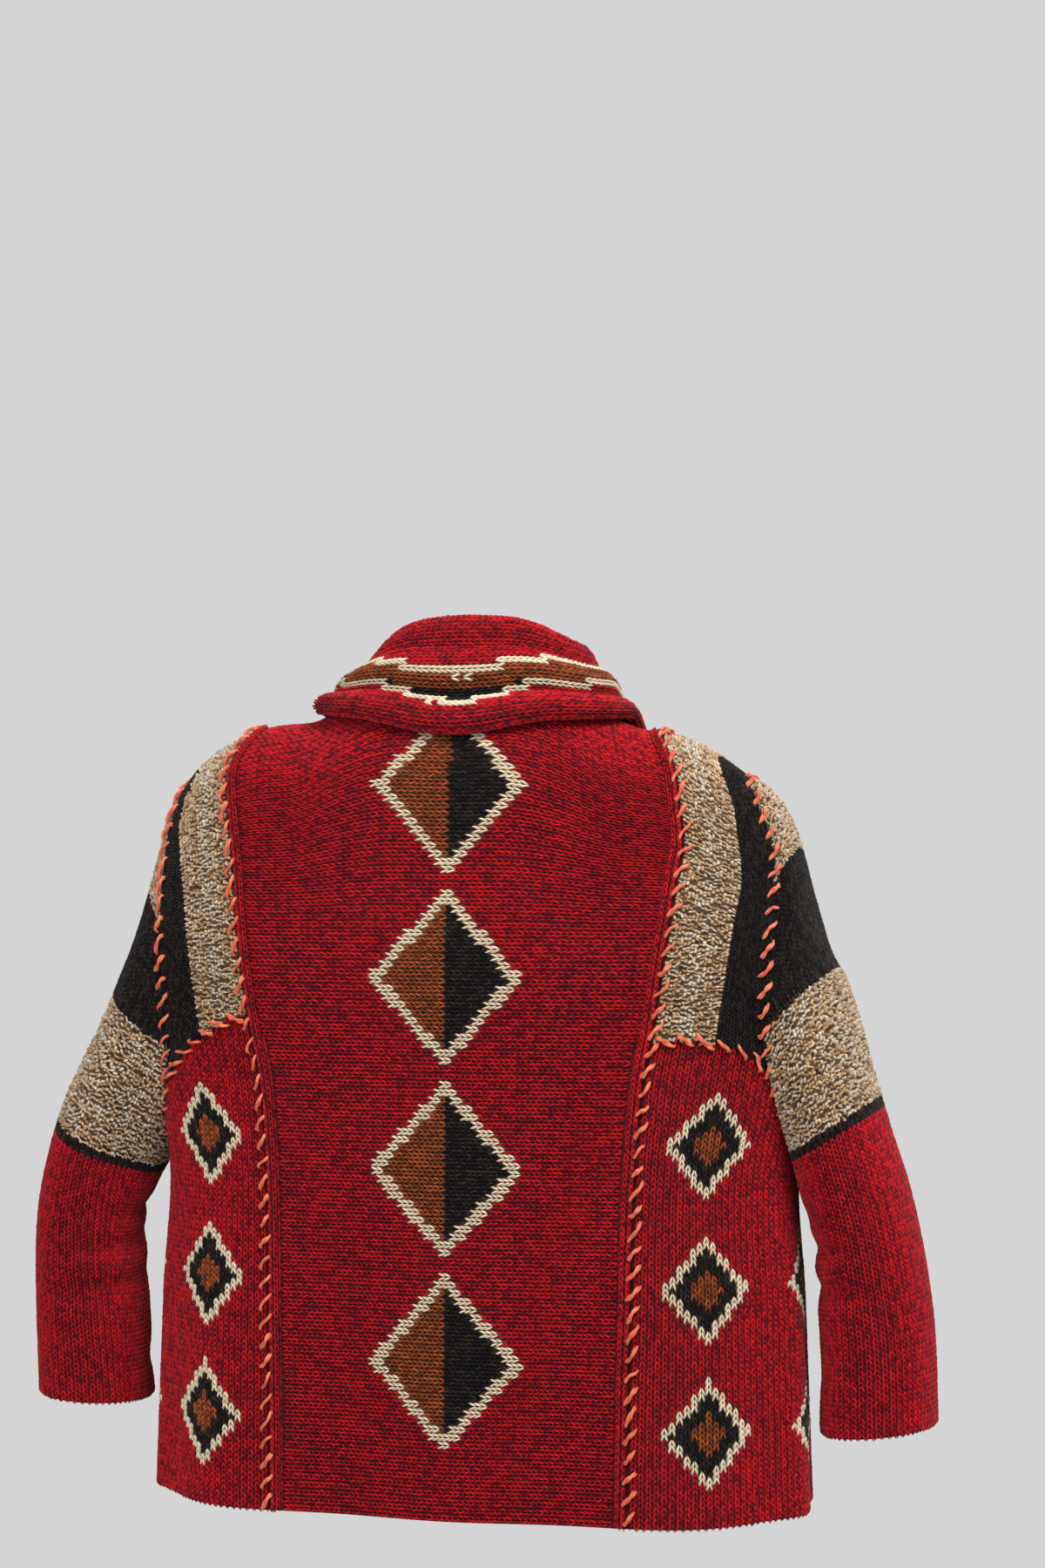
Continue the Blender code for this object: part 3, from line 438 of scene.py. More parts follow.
def sleeve_form(side):
    """One sleeve's surface by distance along the top and angle round, and where it starts."""
    along_seam, round_seam, out_seam = place_on_sleeve(armhole_loop(side)["points"], side)
    order = np.argsort(round_seam)
    known, starts, outs = round_seam[order], along_seam[order], out_seam[order]

    def start(angle):
        return np.interp(angle, known, starts, period=2 * np.pi)

    def surface(along, angle):
        x, z, ahead_x, ahead_z, _ = sleeve_axis(side, along)
        thick, deep, middle = (follow(SLEEVE_SECTION, along, c) for c in (1, 2, 3))
        seam_out = np.interp(angle, known, outs, period=2 * np.pi)
        near = np.exp(-(np.maximum(along - start(angle), 0) / SEAM_FADE) ** 2)
        out = 1 + (seam_out - 1) * near
        for place, around, reach, spread, depth in SLEEVE_CREASES:
            turn = (np.degrees(angle) - around + 180) % 360 - 180
            crease = np.exp(-((along - place - CREASE_LEAN * turn) / reach) ** 2 - (turn / spread) ** 2)
            out = out - depth * crease * (1 - near) / thick
        rise = (np.cos(angle) * out - 1) * thick
        return np.stack([x - ahead_z * rise, middle + np.sin(angle) * out * deep,
                         z + ahead_x * rise], -1)
    return surface, start


print("sleeve lengths:", {which: round(sleeve_axis(SIDES[which], 0.0)[4], 3) for which in SIDES})

# %% [markdown]
# ### Collar
#
# A long knitted band stands at the neck, folds outwards and rolls in on itself at its edge. Cloth
# simulation can fold a band, but not into this one roll. So its section is drawn as points, and
# the section changes from the nape to the shoulder and down the lapel.

# %% Collar
def collar_half(which):
    """Points of half the collar, from the centre back to the bottom of the V, on one side."""
    section = np.array(COLLAR)
    fold_height = np.maximum(section[:, 3], 0)
    section[:, 2] -= SIDES[which]["fold_lean"] * fold_height
    section[:, 3] -= SIDES[which]["fold_sink"] * fold_height
    share = np.linspace(0, 1, NECK_COLUMNS + 1)[:-1]
    neck_x = np.sin(share * np.pi / 2) * NECK_HALF_WIDTH
    seam = over_shoulder(neck_x, neckline_reach(neck_x))
    step, margin = 1e-3, 1e-5
    beside = np.clip(neck_x + step, 0, NECK_HALF_WIDTH - margin)
    run = unit((over_shoulder(beside, neckline_reach(beside)) - seam)[:, :2])
    turned = smooth(share)[:, None]
    out = section[:, 0] * (1 - turned) + section[:, 2] * turned
    up = section[:, 1] * (1 - turned) + section[:, 3] * turned
    behind = np.stack([seam[:, None, 0] + run[:, None, 1] * out,
                       seam[:, None, 1] - run[:, None, 0] * out,
                       seam[:, None, 2] + up], -1)

    reach, edge = (a[:V_ROWS + 1, None] for a in front_edge())
    width, fullness = (follow(LAPEL, height_on_body(edge, reach), c) for c in (1, 2))
    on_shoulder = (section[:, 2], section[:, 3] + follow(SHOULDER_LINE, NECK_HALF_WIDTH)
                   - follow(SHOULDER_LINE, NECK_HALF_WIDTH + section[:, 2]))
    falls = section[:, 4] > 0
    lapel = (np.where(falls, section[:, 4] * width, section[:, 4] * fullness),
             section[:, 5] * np.where(falls, 0.5 + 0.5 * fullness, fullness)
             + np.where(falls, LAPEL_CLEAR * (1 - fullness), 0))
    turned = smooth(reach / LAPEL_TURN)
    out = on_shoulder[0] * (1 - turned) + lapel[0] * turned
    over = on_shoulder[1] * (1 - turned) + lapel[1] * turned
    base, normal = with_normals(over_shoulder, edge + out, reach + 0 * out)
    lift = unit(np.array((0, 0, 1)) * (1 - turned[..., None]) + normal * turned[..., None])
    return np.concatenate([behind, base + lift * over[..., None]])


def collar_sections():
    """The collar's middle surface: a row for each section, from the left V to the right."""
    left = mirrored(collar_half("left")[:0:-1], SIDES["left"])
    return np.concatenate([left, collar_half("right")])


print("collar sections and points in each:", collar_sections().shape[:2])

# %% [markdown]
# ## Where each stitch lies
#
# Hand knitting in thick wool shows each stitch, here 5 to 7 mm wide. A pattern of bumps in a material
# would look flat from the side and at the edges, so each stitch is a small mesh. A patch is the
# grid of stitch cells over a piece: the corners of the cells and their normals, the way that the
# columns of stitches run, and the yarn of every cell.

# %% Stitch sizes
WALE = 0.0058                 # width of a column of stitches on the red panels and the collar
COURSE = 0.0043               # length of a stitch along its column there
FRONT_WALE, FRONT_COURSE = 0.0070, 0.0046
SIDE_WALE, SIDE_COURSE = 0.0052, 0.0040
SLEEVE_WALE, SLEEVE_COURSE = 0.0054, 0.0040
STRIP_COURSE = 0.0032
CLOTH_FACE = 0.0002           # the cloth under the stitches, from the middle of the CAD wall
CLOTH_BACK = -0.0012
STITCH_HEIGHT = 0.0020
LEVEL_DROP = 0.20             # rows of stitches are level from this drop below the shoulders
LEVEL_ROUNDS = 3              # a level row's place and distance from the centre are found from each other
ROW_STEPS = 600               # points that the spacing of rows is measured at
INSIDE_SEAM = 0.2             # a stitch stays if its middle is this share of its length inside a seam


def edges(length, size):
    """Even cell edges from 0 to 1 for a length that holds cells of about a size."""
    return np.linspace(0, 1, max(2, round(length / size)) + 1)


def patch(points, normals, yarns, side=None, wales_across=False, tube=False, keep=None):
    """A grid of stitch cells, moved over to a side of the garment if one is given."""
    if side:
        points, normals = mirrored(points, side), mirrored(normals, side)
    return {"points": settled(points), "normals": normals, "yarns": yarns, "wales_across": wales_across,
            "tube": tube, "keep": keep}


def middles(grid):
    """The middle of each cell of a grid of corners."""
    return (grid[:-1, :-1] + grid[1:, :-1] + grid[:-1, 1:] + grid[1:, 1:]) / 4


def all_of(yarn, points):
    """One yarn for every cell of a grid of corners."""
    return np.full(middles(points).shape[:2], yarn, dtype=object)


def even_reaches(out, face, size):
    """Over-shoulder coordinates down to the hem for rows of one size, face -1 behind, 1 in front."""
    fine = np.linspace(0, hem_reach(out), ROW_STEPS)
    track = over_shoulder(out, face * fine)
    length = lengths_along(track)
    return np.interp(edges(length[-1], size) * length[-1], length, fine)


def level_reach(out, row, row_out=0.0):
    """Where the row of one distance from the centre is at another, level away from the shoulders."""
    ridge, row_ridge = follow(SHOULDER_LINE, np.abs(out)), follow(SHOULDER_LINE, row_out)
    drop = drop_at(row)
    z = row_ridge - drop + (ridge - row_ridge) * (1 - smooth(drop / LEVEL_DROP))
    return reach_at(ridge - z)


def mottle(yarns, share):
    """Turn a share of the beige stitches to the lighter tweed."""
    yarns[(yarns == "beige") & (random.random(yarns.shape) < share)] = "oat"


def lozenge(x, y, half_width, half_height):
    """0 at the middle of a lozenge, 1 on its edge."""
    return np.abs(x) / half_width + np.abs(y) / half_height


print("red knitting to 100 mm:", round(0.1 / WALE, 1), "columns,", round(0.1 / COURSE, 1), "stitches")

# %% [markdown]
# ### Centre back
#
# The back is red marl knitted sideways, so its columns of stitches lie level. Large split
# lozenges stand in a straight column down the middle. They could be painted by a material, but
# knitting changes colour a whole stitch at a time, so each stitch gets one yarn. The edge beside
# the strips curls over, as plain knitting does, and is a thin roll of stitches along the seam.

# %% Back panel
BACK_LOZENGE = (0.059, 0.065)       # half width, half height
BACK_LOZENGE_HEIGHTS = (-0.065, -0.205, -0.345, -0.485)
BACK_OUTLINE = 0.82                 # share of the lozenge inside its cream outline
BACK_WIDTH, BACK_LENGTH = 0.30, 0.61  # lengths that the back's cells are counted from
BACK_SEAM_STEPS = 300
NECKLINE_GAP = 0.01                 # the stitches start this far below the neckline, over the shoulder
ROLL_INSET = 0.0062                 # the edge rolls up at this distance from the seams
ROLL_RADIUS = 0.0036
ROLL_COLUMNS = 3
ROLL_TURN = (165, -45)              # degrees round the roll of its first and last edge
ROLL_START, ROLL_LENGTH = 0.02, 0.64
ROLL_GROOVE = 0.0108                # no other stitches lie nearer to the seam than this


def back_yarns(x, z):
    yarns = np.full(x.shape, "red", dtype=object)
    for height in BACK_LOZENGE_HEIGHTS:
        share = lozenge(x, z - height, *BACK_LOZENGE)
        yarns[share < 1] = "cream"
        inside = share < BACK_OUTLINE
        yarns[inside & (x < 0)] = "rust"
        yarns[inside & (x >= 0)] = "black"
    return yarns


def back_seams(down, hem):
    """Distances from the centre of the left and right seams at shares of the way to the hem."""
    share = np.linspace(0, 1, BACK_SEAM_STEPS)
    reach = np.linspace(0, hem, BACK_SEAM_STEPS)
    return [np.interp(down, share, inner_seam(reach, SIDES[s]))
            for s in ("left", "right")]


print("lozenges down the back:", len(BACK_LOZENGE_HEIGHTS))

# %% Rows of the back
def back_patches():
    """The cloth of the centre back, and its stitches in level rows."""
    hem = inner_seam_hem()
    across, down = np.meshgrid(edges(BACK_WIDTH, COURSE), edges(BACK_LENGTH, WALE))
    left, right = back_seams(down, hem)
    x = -left + across * (left + right)
    nape = -neckline_reach(x)
    top = nape[0]
    cloth = with_normals(over_shoulder, x, -(top + down * (hem_reach(x) - top)))
    middle = middles(cloth[0])
    cloth_patch = patch(*cloth, back_yarns(middle[..., 0], middle[..., 2]), wales_across=True)
    across, row = np.meshgrid(edges(BACK_WIDTH, COURSE), even_reaches(0.0, -1, WALE))
    reach = row
    for _ in range(LEVEL_ROUNDS):
        left, right = (inner_seam(reach, SIDES[which]) for which in ("left", "right"))
        x = -left + across * (left + right)
        reach = level_reach(x, row)
    rows = with_normals(over_shoulder, x, -reach)
    middle = middles(rows[0])
    beside_seam = np.minimum(middles(x + left), middles(right - x))
    stitch_patch = patch(*rows, back_yarns(middle[..., 0], middle[..., 2]), wales_across=True,
                         keep=(middles(reach) > middles(-neckline_reach(x)) + NECKLINE_GAP)
                         & (beside_seam > ROLL_GROOVE))
    return cloth_patch, stitch_patch


# %% Rolled edges
def roll_patch(which):
    """The rolled edge of the back panel, a thin knitted tube beside the inner seam."""
    side = SIDES[which]
    hem = inner_seam_hem()
    reach = -np.linspace(ROLL_START, hem, round(ROLL_LENGTH / COURSE))[:, None]
    turn = np.radians(np.linspace(*ROLL_TURN, ROLL_COLUMNS + 1))[None]
    base, up = with_normals(over_shoulder, inner_seam(reach, side) - ROLL_INSET, reach)
    inwards = unit(over_shoulder(inner_seam(reach, side) - 2 * ROLL_INSET, reach) - base)
    normals = inwards * np.cos(turn)[..., None] + up * np.sin(turn)[..., None]
    points = base + normals * ROLL_RADIUS
    return patch(points, normals, all_of("red", points), side)


# %% [markdown]
# ### Fronts
#
# The fronts are knitted sideways as the back is. They are out of sight in most views, so they
# stay plain red, with level rows from the open edge to the seam.

# %% Fronts
FRONT_WIDTH = 0.125           # the length that a front's cells are counted from


def front_patch(which):
    """A front, plain red, from its open edge to the inner seam."""
    side = SIDES[which]
    across, row = np.meshgrid(edges(FRONT_WIDTH, FRONT_COURSE), even_reaches(FRONT_GAP, 1, FRONT_WALE))
    edge = np.interp(row, *front_edge())
    reach = row
    for _ in range(LEVEL_ROUNDS):
        x = edge + across * (inner_seam(reach, side) - edge)
        reach = level_reach(x, row)
    points, normals = with_normals(over_shoulder, x, reach)
    return patch(points, normals, all_of("red", points), side, wales_across=True)


# %% [markdown]
# ### Yoke strips
#
# A strip runs over each shoulder, beige tweed beside the inner seam and black beside the armhole.
# Its stitches are smaller and upright. The middle columns of the tweed are mostly a lighter yarn.

# %% Strips
STRIP_BEIGE_WIDTH = 0.040
STRIP_BEIGE_COLUMNS, STRIP_BLACK_COLUMNS = 8, 7
OAT_COLUMNS = (3, 5)          # most of the lighter tweed lies between these columns of the beige
OAT_SHARES = (0.85, 0.25)     # its share of the stitches there and elsewhere
STRIP_MIDDLE = 0.190          # distance from the centre where the rows are spaced
STRIP_LENGTH = 0.46           # the length that the cloth's cells are counted from
STRIP_MARGIN = 0.03           # rows are laid this far past the ends, over the shoulder, and then cut


def strip_rows(column, row, end, side):
    """A strip's points and normals at its columns and rows, and the reach over its end's."""
    reach = row
    for _ in range(LEVEL_ROUNDS):
        inner_x, outer_x = inner_seam(reach, side), armhole_seam(reach, side)
        beige = np.minimum(column / STRIP_BEIGE_COLUMNS, 1) * STRIP_BEIGE_WIDTH
        black = (np.maximum(column - STRIP_BEIGE_COLUMNS, 0) / STRIP_BLACK_COLUMNS
                 * (outer_x - inner_x - STRIP_BEIGE_WIDTH))
        x = inner_x + beige + black
        across = (beige + black) / (outer_x - inner_x)
        longest = end[0] * (1 - across) + end[1] * across
        reach = np.sign(row) * level_reach(x, np.abs(row), STRIP_MIDDLE) if end[2] else row * longest
    return with_normals(over_shoulder, x, reach), np.abs(reach) / longest


def strip_patches(which):
    """The cloth of a yoke strip, and its stitches in level rows."""
    side = SIDES[which]
    ends = strip_ends(side)
    columns = np.arange(STRIP_BEIGE_COLUMNS + STRIP_BLACK_COLUMNS + 1)
    behind, before = (even_reaches(STRIP_MIDDLE, face, STRIP_COURSE) for face in (-1, 1))
    level_rows = np.concatenate([-behind[behind < ends.max() + STRIP_MARGIN][::-1],
                                 before[(before > 0) & (before < ends.max() + STRIP_MARGIN)]])
    patches = []
    for rows, level in ((edges(STRIP_LENGTH, 2 * STRIP_COURSE) * 2 - 1, False), (level_rows, True)):
        column, row = np.meshgrid(columns, rows)
        (points, normals), share = strip_rows(column, row, (*ends, level), side)
        column = middles(column)
        yarns = np.where(column < STRIP_BEIGE_COLUMNS, "beige", "black").astype(object)
        is_light = (column > OAT_COLUMNS[0]) & (column < OAT_COLUMNS[1])
        mottle(yarns, np.where(is_light, *OAT_SHARES))
        patches.append(patch(points, normals, yarns, side, keep=middles(share) < 1))
    return patches


# %% [markdown]
# ### Side panels
#
# Under each arm a red panel goes from the back's seam round to the front's. Its columns stand
# upright, with small ringed lozenges in even rows. Rows that follow its curved top would bend the
# lozenges, so the rows are level and the stitches above the top are left out.

# %% Sides
SIDE_LOZENGE = (0.035, 0.040)
SIDE_LOZENGE_PITCH = (0.108, 0.104)
SIDE_LOZENGE_TOP = -0.325
SIDE_LOZENGE_ROWS = 3
SIDE_RINGS = ((1.00, "cream"), (0.76, "black"), (0.40, "rust"))
SIDE_SPACED_AT = -0.45        # height where the columns are spaced
SIDE_LENGTH = 0.33            # the length that the cloth's cells are counted from
SIDE_MARGIN = 0.02            # rows are laid this far above the top, and then cut
SIDE_SEAM_STEPS, SIDE_END_STEPS = 120, 9


def side_yarns(round_distance, z):
    x = (round_distance + SIDE_LOZENGE_PITCH[0] / 2) % SIDE_LOZENGE_PITCH[0] - SIDE_LOZENGE_PITCH[0] / 2
    rows = np.round((SIDE_LOZENGE_TOP - z) / SIDE_LOZENGE_PITCH[1])
    y = z - (SIDE_LOZENGE_TOP - rows * SIDE_LOZENGE_PITCH[1])
    share = lozenge(x, y, *SIDE_LOZENGE)
    share = np.where((rows < 0) | (rows >= SIDE_LOZENGE_ROWS), np.inf, share)
    yarns = np.full(x.shape, "red", dtype=object)
    for edge, yarn in SIDE_RINGS:
        yarns[share < edge] = yarn
    return yarns


print("yarns of a side lozenge, from outside:", [yarn for _, yarn in SIDE_RINGS])

# %% Form of a side panel
def side_form(which):
    """A side panel's place by share round it, -1 behind to 1 in front, and height; and its top."""
    side = SIDES[which]
    loop = armhole_loop(side)
    ends = strip_ends(side)
    hem = inner_seam_hem()
    seam_reach = np.linspace(ends[0], hem, SIDE_SEAM_STEPS)
    seam_x = inner_seam(seam_reach, side)
    seam_z = height_on_body(seam_x, seam_reach)
    seam_angle = side_angle(seam_x, seam_z)
    share = np.linspace(0, 1, SIDE_END_STEPS)
    end_x = seam_x[0] * (1 - share) + armhole_seam(ends[1], side) * share
    end_z = height_on_body(end_x, ends[0] * (1 - share) + ends[1] * share)
    end_angle = side_angle(end_x, end_z)
    top_place = np.concatenate([-end_angle, loop["angle"], end_angle[::-1]]) / end_angle[0]
    top_z = np.concatenate([end_z, loop["height"], end_z[::-1]])

    def top(place):
        return np.interp(place, top_place, top_z)

    def spot(place, z):
        angle = place * np.interp(-z, -seam_z, seam_angle)
        return with_normals(round_side, angle, z)
    return spot, top


# %% Rows of a side panel
def side_patches(which):
    """The cloth of a side panel, and its stitches in level rows."""
    side = SIDES[which]
    spot, top = side_form(which)
    level = np.linspace(-1, 1, FINE_STEPS)
    ring = spot(level, np.full(FINE_STEPS, SIDE_SPACED_AT))[0]
    round_distance = lengths_along(ring)
    round_distance = round_distance - round_distance[-1] / 2
    columns = np.interp(edges(np.ptp(round_distance), SIDE_WALE), (round_distance - round_distance[0])
                        / np.ptp(round_distance), level)

    def yarns_at(place, z):
        return side_yarns(np.interp(place, level, round_distance), z)

    place, down = np.meshgrid(columns, edges(SIDE_LENGTH, SIDE_COURSE))
    z = top(place) + down * (HEM - top(place))
    cloth = spot(place, z)
    cloth_patch = patch(*cloth, yarns_at(middles(place), middles(z)), side)
    highest = top(np.array(1.0)) + SIDE_MARGIN
    levels = highest + edges(highest - HEM, SIDE_COURSE) * (HEM - highest)
    place, z = np.meshgrid(columns, levels)
    rows = spot(place, z)
    middle_place, middle_z = middles(place), middles(z)
    stitch_patch = patch(*rows, yarns_at(middle_place, middle_z), side,
                         keep=middle_z < top(middle_place) - INSIDE_SEAM * SIDE_COURSE)
    return cloth_patch, stitch_patch


# %% [markdown]
# ### Sleeves
#
# The sleeves have plain stripes of beige tweed, black and red. The rows lie square to the arm, and
# those that meet the slanting armhole are cut short there.

# %% Sleeve patches
SLEEVE_OAT = 0.45             # share of the lighter tweed in the beige stripes
SLEEVE_SPACED_AT = 0.24       # place along the sleeve where its columns are spaced
SLEEVE_LENGTH = 0.44          # the length that the cloth's cells are counted from
ROUND_STEPS = 721


def sleeve_patches(which):
    """The cloth of a sleeve, and its stitches in rows along the stripes."""
    side = SIDES[which]
    surface, start = sleeve_form(side)
    length = sleeve_axis(side, 0.0)[4]
    turn = np.linspace(-np.pi, np.pi, ROUND_STEPS)
    ring = surface(np.full(turn.shape, SLEEVE_SPACED_AT), turn)
    distance = lengths_along(ring)
    columns = np.interp(edges(distance[-1], SLEEVE_WALE), distance / distance[-1], turn)
    stripe_ends = [end for end, _ in side["stripes"]]
    stripe_yarns = np.array([yarn for _, yarn in side["stripes"]], dtype=object)

    def yarns_at(along):
        yarns = stripe_yarns[np.searchsorted(stripe_ends, along)]
        mottle(yarns, SLEEVE_OAT)
        return yarns

    angle, down = np.meshgrid(columns, edges(SLEEVE_LENGTH, 2 * SLEEVE_COURSE))
    along = start(angle) + down * (length - start(angle))
    cloth = with_normals(surface, along, angle)
    cloth_patch = patch(*cloth, yarns_at(middles(along)), side, tube=True)
    angle, along = np.meshgrid(columns, edges(length, SLEEVE_COURSE) * length)
    rows = with_normals(surface, along, angle)
    middle_angle, middle_along = middles(angle), middles(along)
    stitch_patch = patch(*rows, yarns_at(middle_along), side,
                         keep=middle_along > start(middle_angle) + INSIDE_SEAM * SLEEVE_COURSE)
    return cloth_patch, stitch_patch


# %% [markdown]
# ### Collar
#
# The band is red, with plain cream, rust and black stripes along its second roll. They sag at the
# nape. Their edges step by whole stitches and wander a little, as a hand knitter's do.

# %% Collar patch
COLLAR_WALE, COLLAR_COURSE = 0.0062, 0.0047
# yarn, and the row of the section where it starts at the centre back and away from it
COLLAR_STRIPES = (("rust", 10.1, 8.1), ("black", 11.4, 10.0), ("red", 13.4, 10.5))
COLLAR_OUTLINED = ("rust", "red")   # a line of cream stitches lies before these
COLLAR_WANDER = 0.25          # how far the stripes' edges wander, in columns of stitches
SAG_REACH = 0.058             # how far from the centre back the stripes sag
WANDER_SAG = 0.05             # the edges wander only where the stripes sag more than this share
STEPS_PER_POINT = 40


def resample(grid, places):
    """Rows of a grid at places between them, on smooth curves."""
    index = np.arange(len(grid), dtype=float)
    flat = grid.reshape(len(grid), -1)
    table = np.column_stack([index, flat])
    columns = [follow(table, places, c + 1) for c in range(flat.shape[1])]
    return np.stack(columns, -1).reshape((len(places),) + grid.shape[1:])


def even_places(line, size):
    """Places along a line of points, in counts of its points, that are evenly spaced."""
    fine = np.linspace(0, len(line) - 1, STEPS_PER_POINT * len(line))
    track = resample(line, fine)
    length = lengths_along(track)
    return np.interp(edges(length[-1], size) * length[-1], length, fine)


print("yarns of the collar's stripes:", [yarn for yarn, *_ in COLLAR_STRIPES])

# %% Stripes of the collar
def collar_patch():
    """The whole collar with its stripes; its cloth and its stitches share one grid."""
    sections = collar_sections()
    centre = len(sections) // 2
    profile_places = even_places(sections[centre], COLLAR_WALE)
    middle_row = len(COLLAR) // 2
    length_places = even_places(sections[:, middle_row], COLLAR_COURSE)
    grid = resample(sections, length_places)
    grid = np.swapaxes(resample(np.swapaxes(grid, 0, 1), profile_places), 0, 1)
    normals = -unit(np.cross(np.gradient(grid, axis=0), np.gradient(grid, axis=1)))
    from_nape = np.linalg.norm((middles(grid) - sections[centre, middle_row])[..., :2], axis=-1)
    sag = np.exp(-(from_nape / SAG_REACH) ** 2)
    yarns = np.full(sag.shape, "red", dtype=object)
    column = np.broadcast_to(np.arange(sag.shape[1]), sag.shape)
    sag_of_row = sag[:, sag.shape[1] // 2]
    wander = COLLAR_WANDER * (sag_of_row > WANDER_SAG)
    for yarn, at_nape, at_side in COLLAR_STRIPES:
        start = at_side + (at_nape - at_side) * sag_of_row
        start = np.interp(start, profile_places, np.arange(len(profile_places)))
        start = np.round(start + random.uniform(-1, 1, len(start)) * wander)
        outline = np.minimum(start, np.minimum(np.roll(start, 1), np.roll(start, -1)))[:, None] - 1
        start = start[:, None]
        yarns[column >= start] = yarn
        if yarn in COLLAR_OUTLINED:
            yarns[(column >= outline) & (column < start)] = "cream"
    return patch(grid, normals, yarns)


# %% [markdown]
# ## Yarns
#
# The wool is two plies twisted together, each dyed unevenly, which gives the red its maroon
# marl. One noise over the whole garment would run across the stitches. So each leg of a stitch
# takes one colour from each ply's list, and the material twists the two round each other.

# %% Yarn colours
SHADE_SPREAD = 0.07           # how uneven the dye is
SHADE_LIMITS = (0.8, 1.2)
# colours of each ply as seen, in 8-bit sRGB
YARN_PLIES = {
    "red": (((226, 20, 34), (210, 16, 30), (190, 14, 34), (152, 14, 34)),
            ((186, 14, 30), (112, 12, 34), (88, 10, 30), (204, 16, 30))),
    "black": (((26, 22, 21), (13, 11, 11), (56, 47, 42)), ((13, 11, 11), (26, 22, 21), (50, 40, 34))),
    "beige": (((206, 178, 144), (188, 156, 120), (222, 200, 170), (166, 130, 94), (198, 174, 146)),
              ((196, 164, 128), (150, 114, 80), (208, 184, 154), (176, 150, 120), (120, 90, 62))),
    "oat": (((216, 202, 182), (200, 184, 162), (226, 216, 202), (180, 160, 136), (208, 194, 176)),
            ((202, 186, 164), (172, 148, 122), (214, 202, 186), (188, 172, 152), (144, 120, 98))),
    "cream": (((240, 228, 204), (232, 218, 192)), ((236, 222, 196), (222, 206, 178))),
    "rust": (((182, 88, 40), (160, 76, 36), (128, 66, 38)), ((150, 72, 36), (112, 58, 36), (186, 92, 44))),
    "coral": (((192, 78, 56), (180, 70, 52)), ((222, 128, 92), (210, 110, 78))),
}


def linear(colour):
    """Scene-linear values of an 8-bit sRGB colour."""
    share = np.asarray(colour, float) / 255
    return np.where(share <= 0.04045, share / 12.92, ((share + 0.055) / 1.055) ** 2.4)


def ply_colours(yarns, ply):
    """One colour for each entry of an array of yarn names, with a little unevenness."""
    colours = np.ones(yarns.shape + (4,))
    for name, plies in YARN_PLIES.items():
        here = yarns == name
        choice = linear(plies[ply])[random.integers(len(plies[ply]), size=here.sum())]
        colours[here, :3] = choice * random.normal(1, SHADE_SPREAD, (here.sum(), 1)).clip(*SHADE_LIMITS)
    return colours


print("yarns:", *YARN_PLIES)

# %% [markdown]
# ## Wool and cloth
#
# Wool is dull and hairy: rough, with a little sheen and fine fibres that a noise raises. The
# colours come with the mesh, so one kind of wool serves every yarn. Between the stitches the
# purl side shows, as a cloth with low bumps that is painted much darker for the shade there.

# %% Materials
TWIST_ALONG, TWIST_ROUND = 9.5, 3.1  # radians that the plies turn along a leg and round it
FLECK_SCALE, FLECK_DETAIL = 520, 3
FIBRE_SCALE, FIBRE_DETAIL = 1900, 2
PLY_HEIGHT = 0.30             # how far the plies rise beside the fibres
WOOL_BUMP = (0.55, 0.0005)    # strength, and depth in metres
WOOL_SHEEN, WOOL_SHEEN_ROUGHNESS, WOOL_SPECULAR = 0.05, 0.5, 0.15
PURL_BUMP = (0.9, 0.0012)
PURL_SHEEN, PURL_SPECULAR, PURL_ROUGHNESS = 0.04, 0.2, 0.92


def add_node(tree, kind, inputs=None, **settings):
    """A node with its settings; each input is a value or another node's output."""
    node = tree.nodes.new(kind)
    for key, value in settings.items():
        setattr(node, key, value)
    for socket, value in (inputs or {}).items():
        if isinstance(value, bpy.types.NodeSocket):
            tree.links.new(value, node.inputs[socket])
        else:
            node.inputs[socket].default_value = value
    return node


def maths(tree, operation, first, second=0.0):
    return add_node(tree, "ShaderNodeMath", {0: first, 1: second}, operation=operation).outputs[0]


def add_bump(tree, shader, height, strength, depth):
    bump = add_node(tree, "ShaderNodeBump", {"Strength": strength, "Distance": depth, "Height": height})
    tree.links.new(bump.outputs[0], shader.inputs["Normal"])


def dull_material(name, roughness, sheen, specular):
    """A new rough material: itself, its node tree and its shader."""
    material = bpy.data.materials.new(name)
    material.use_nodes = True
    shader = material.node_tree.nodes["Principled BSDF"]
    shader.inputs["Roughness"].default_value = roughness
    shader.inputs["Sheen Weight"].default_value = sheen
    shader.inputs["Specular IOR Level"].default_value = specular
    return material, material.node_tree, shader


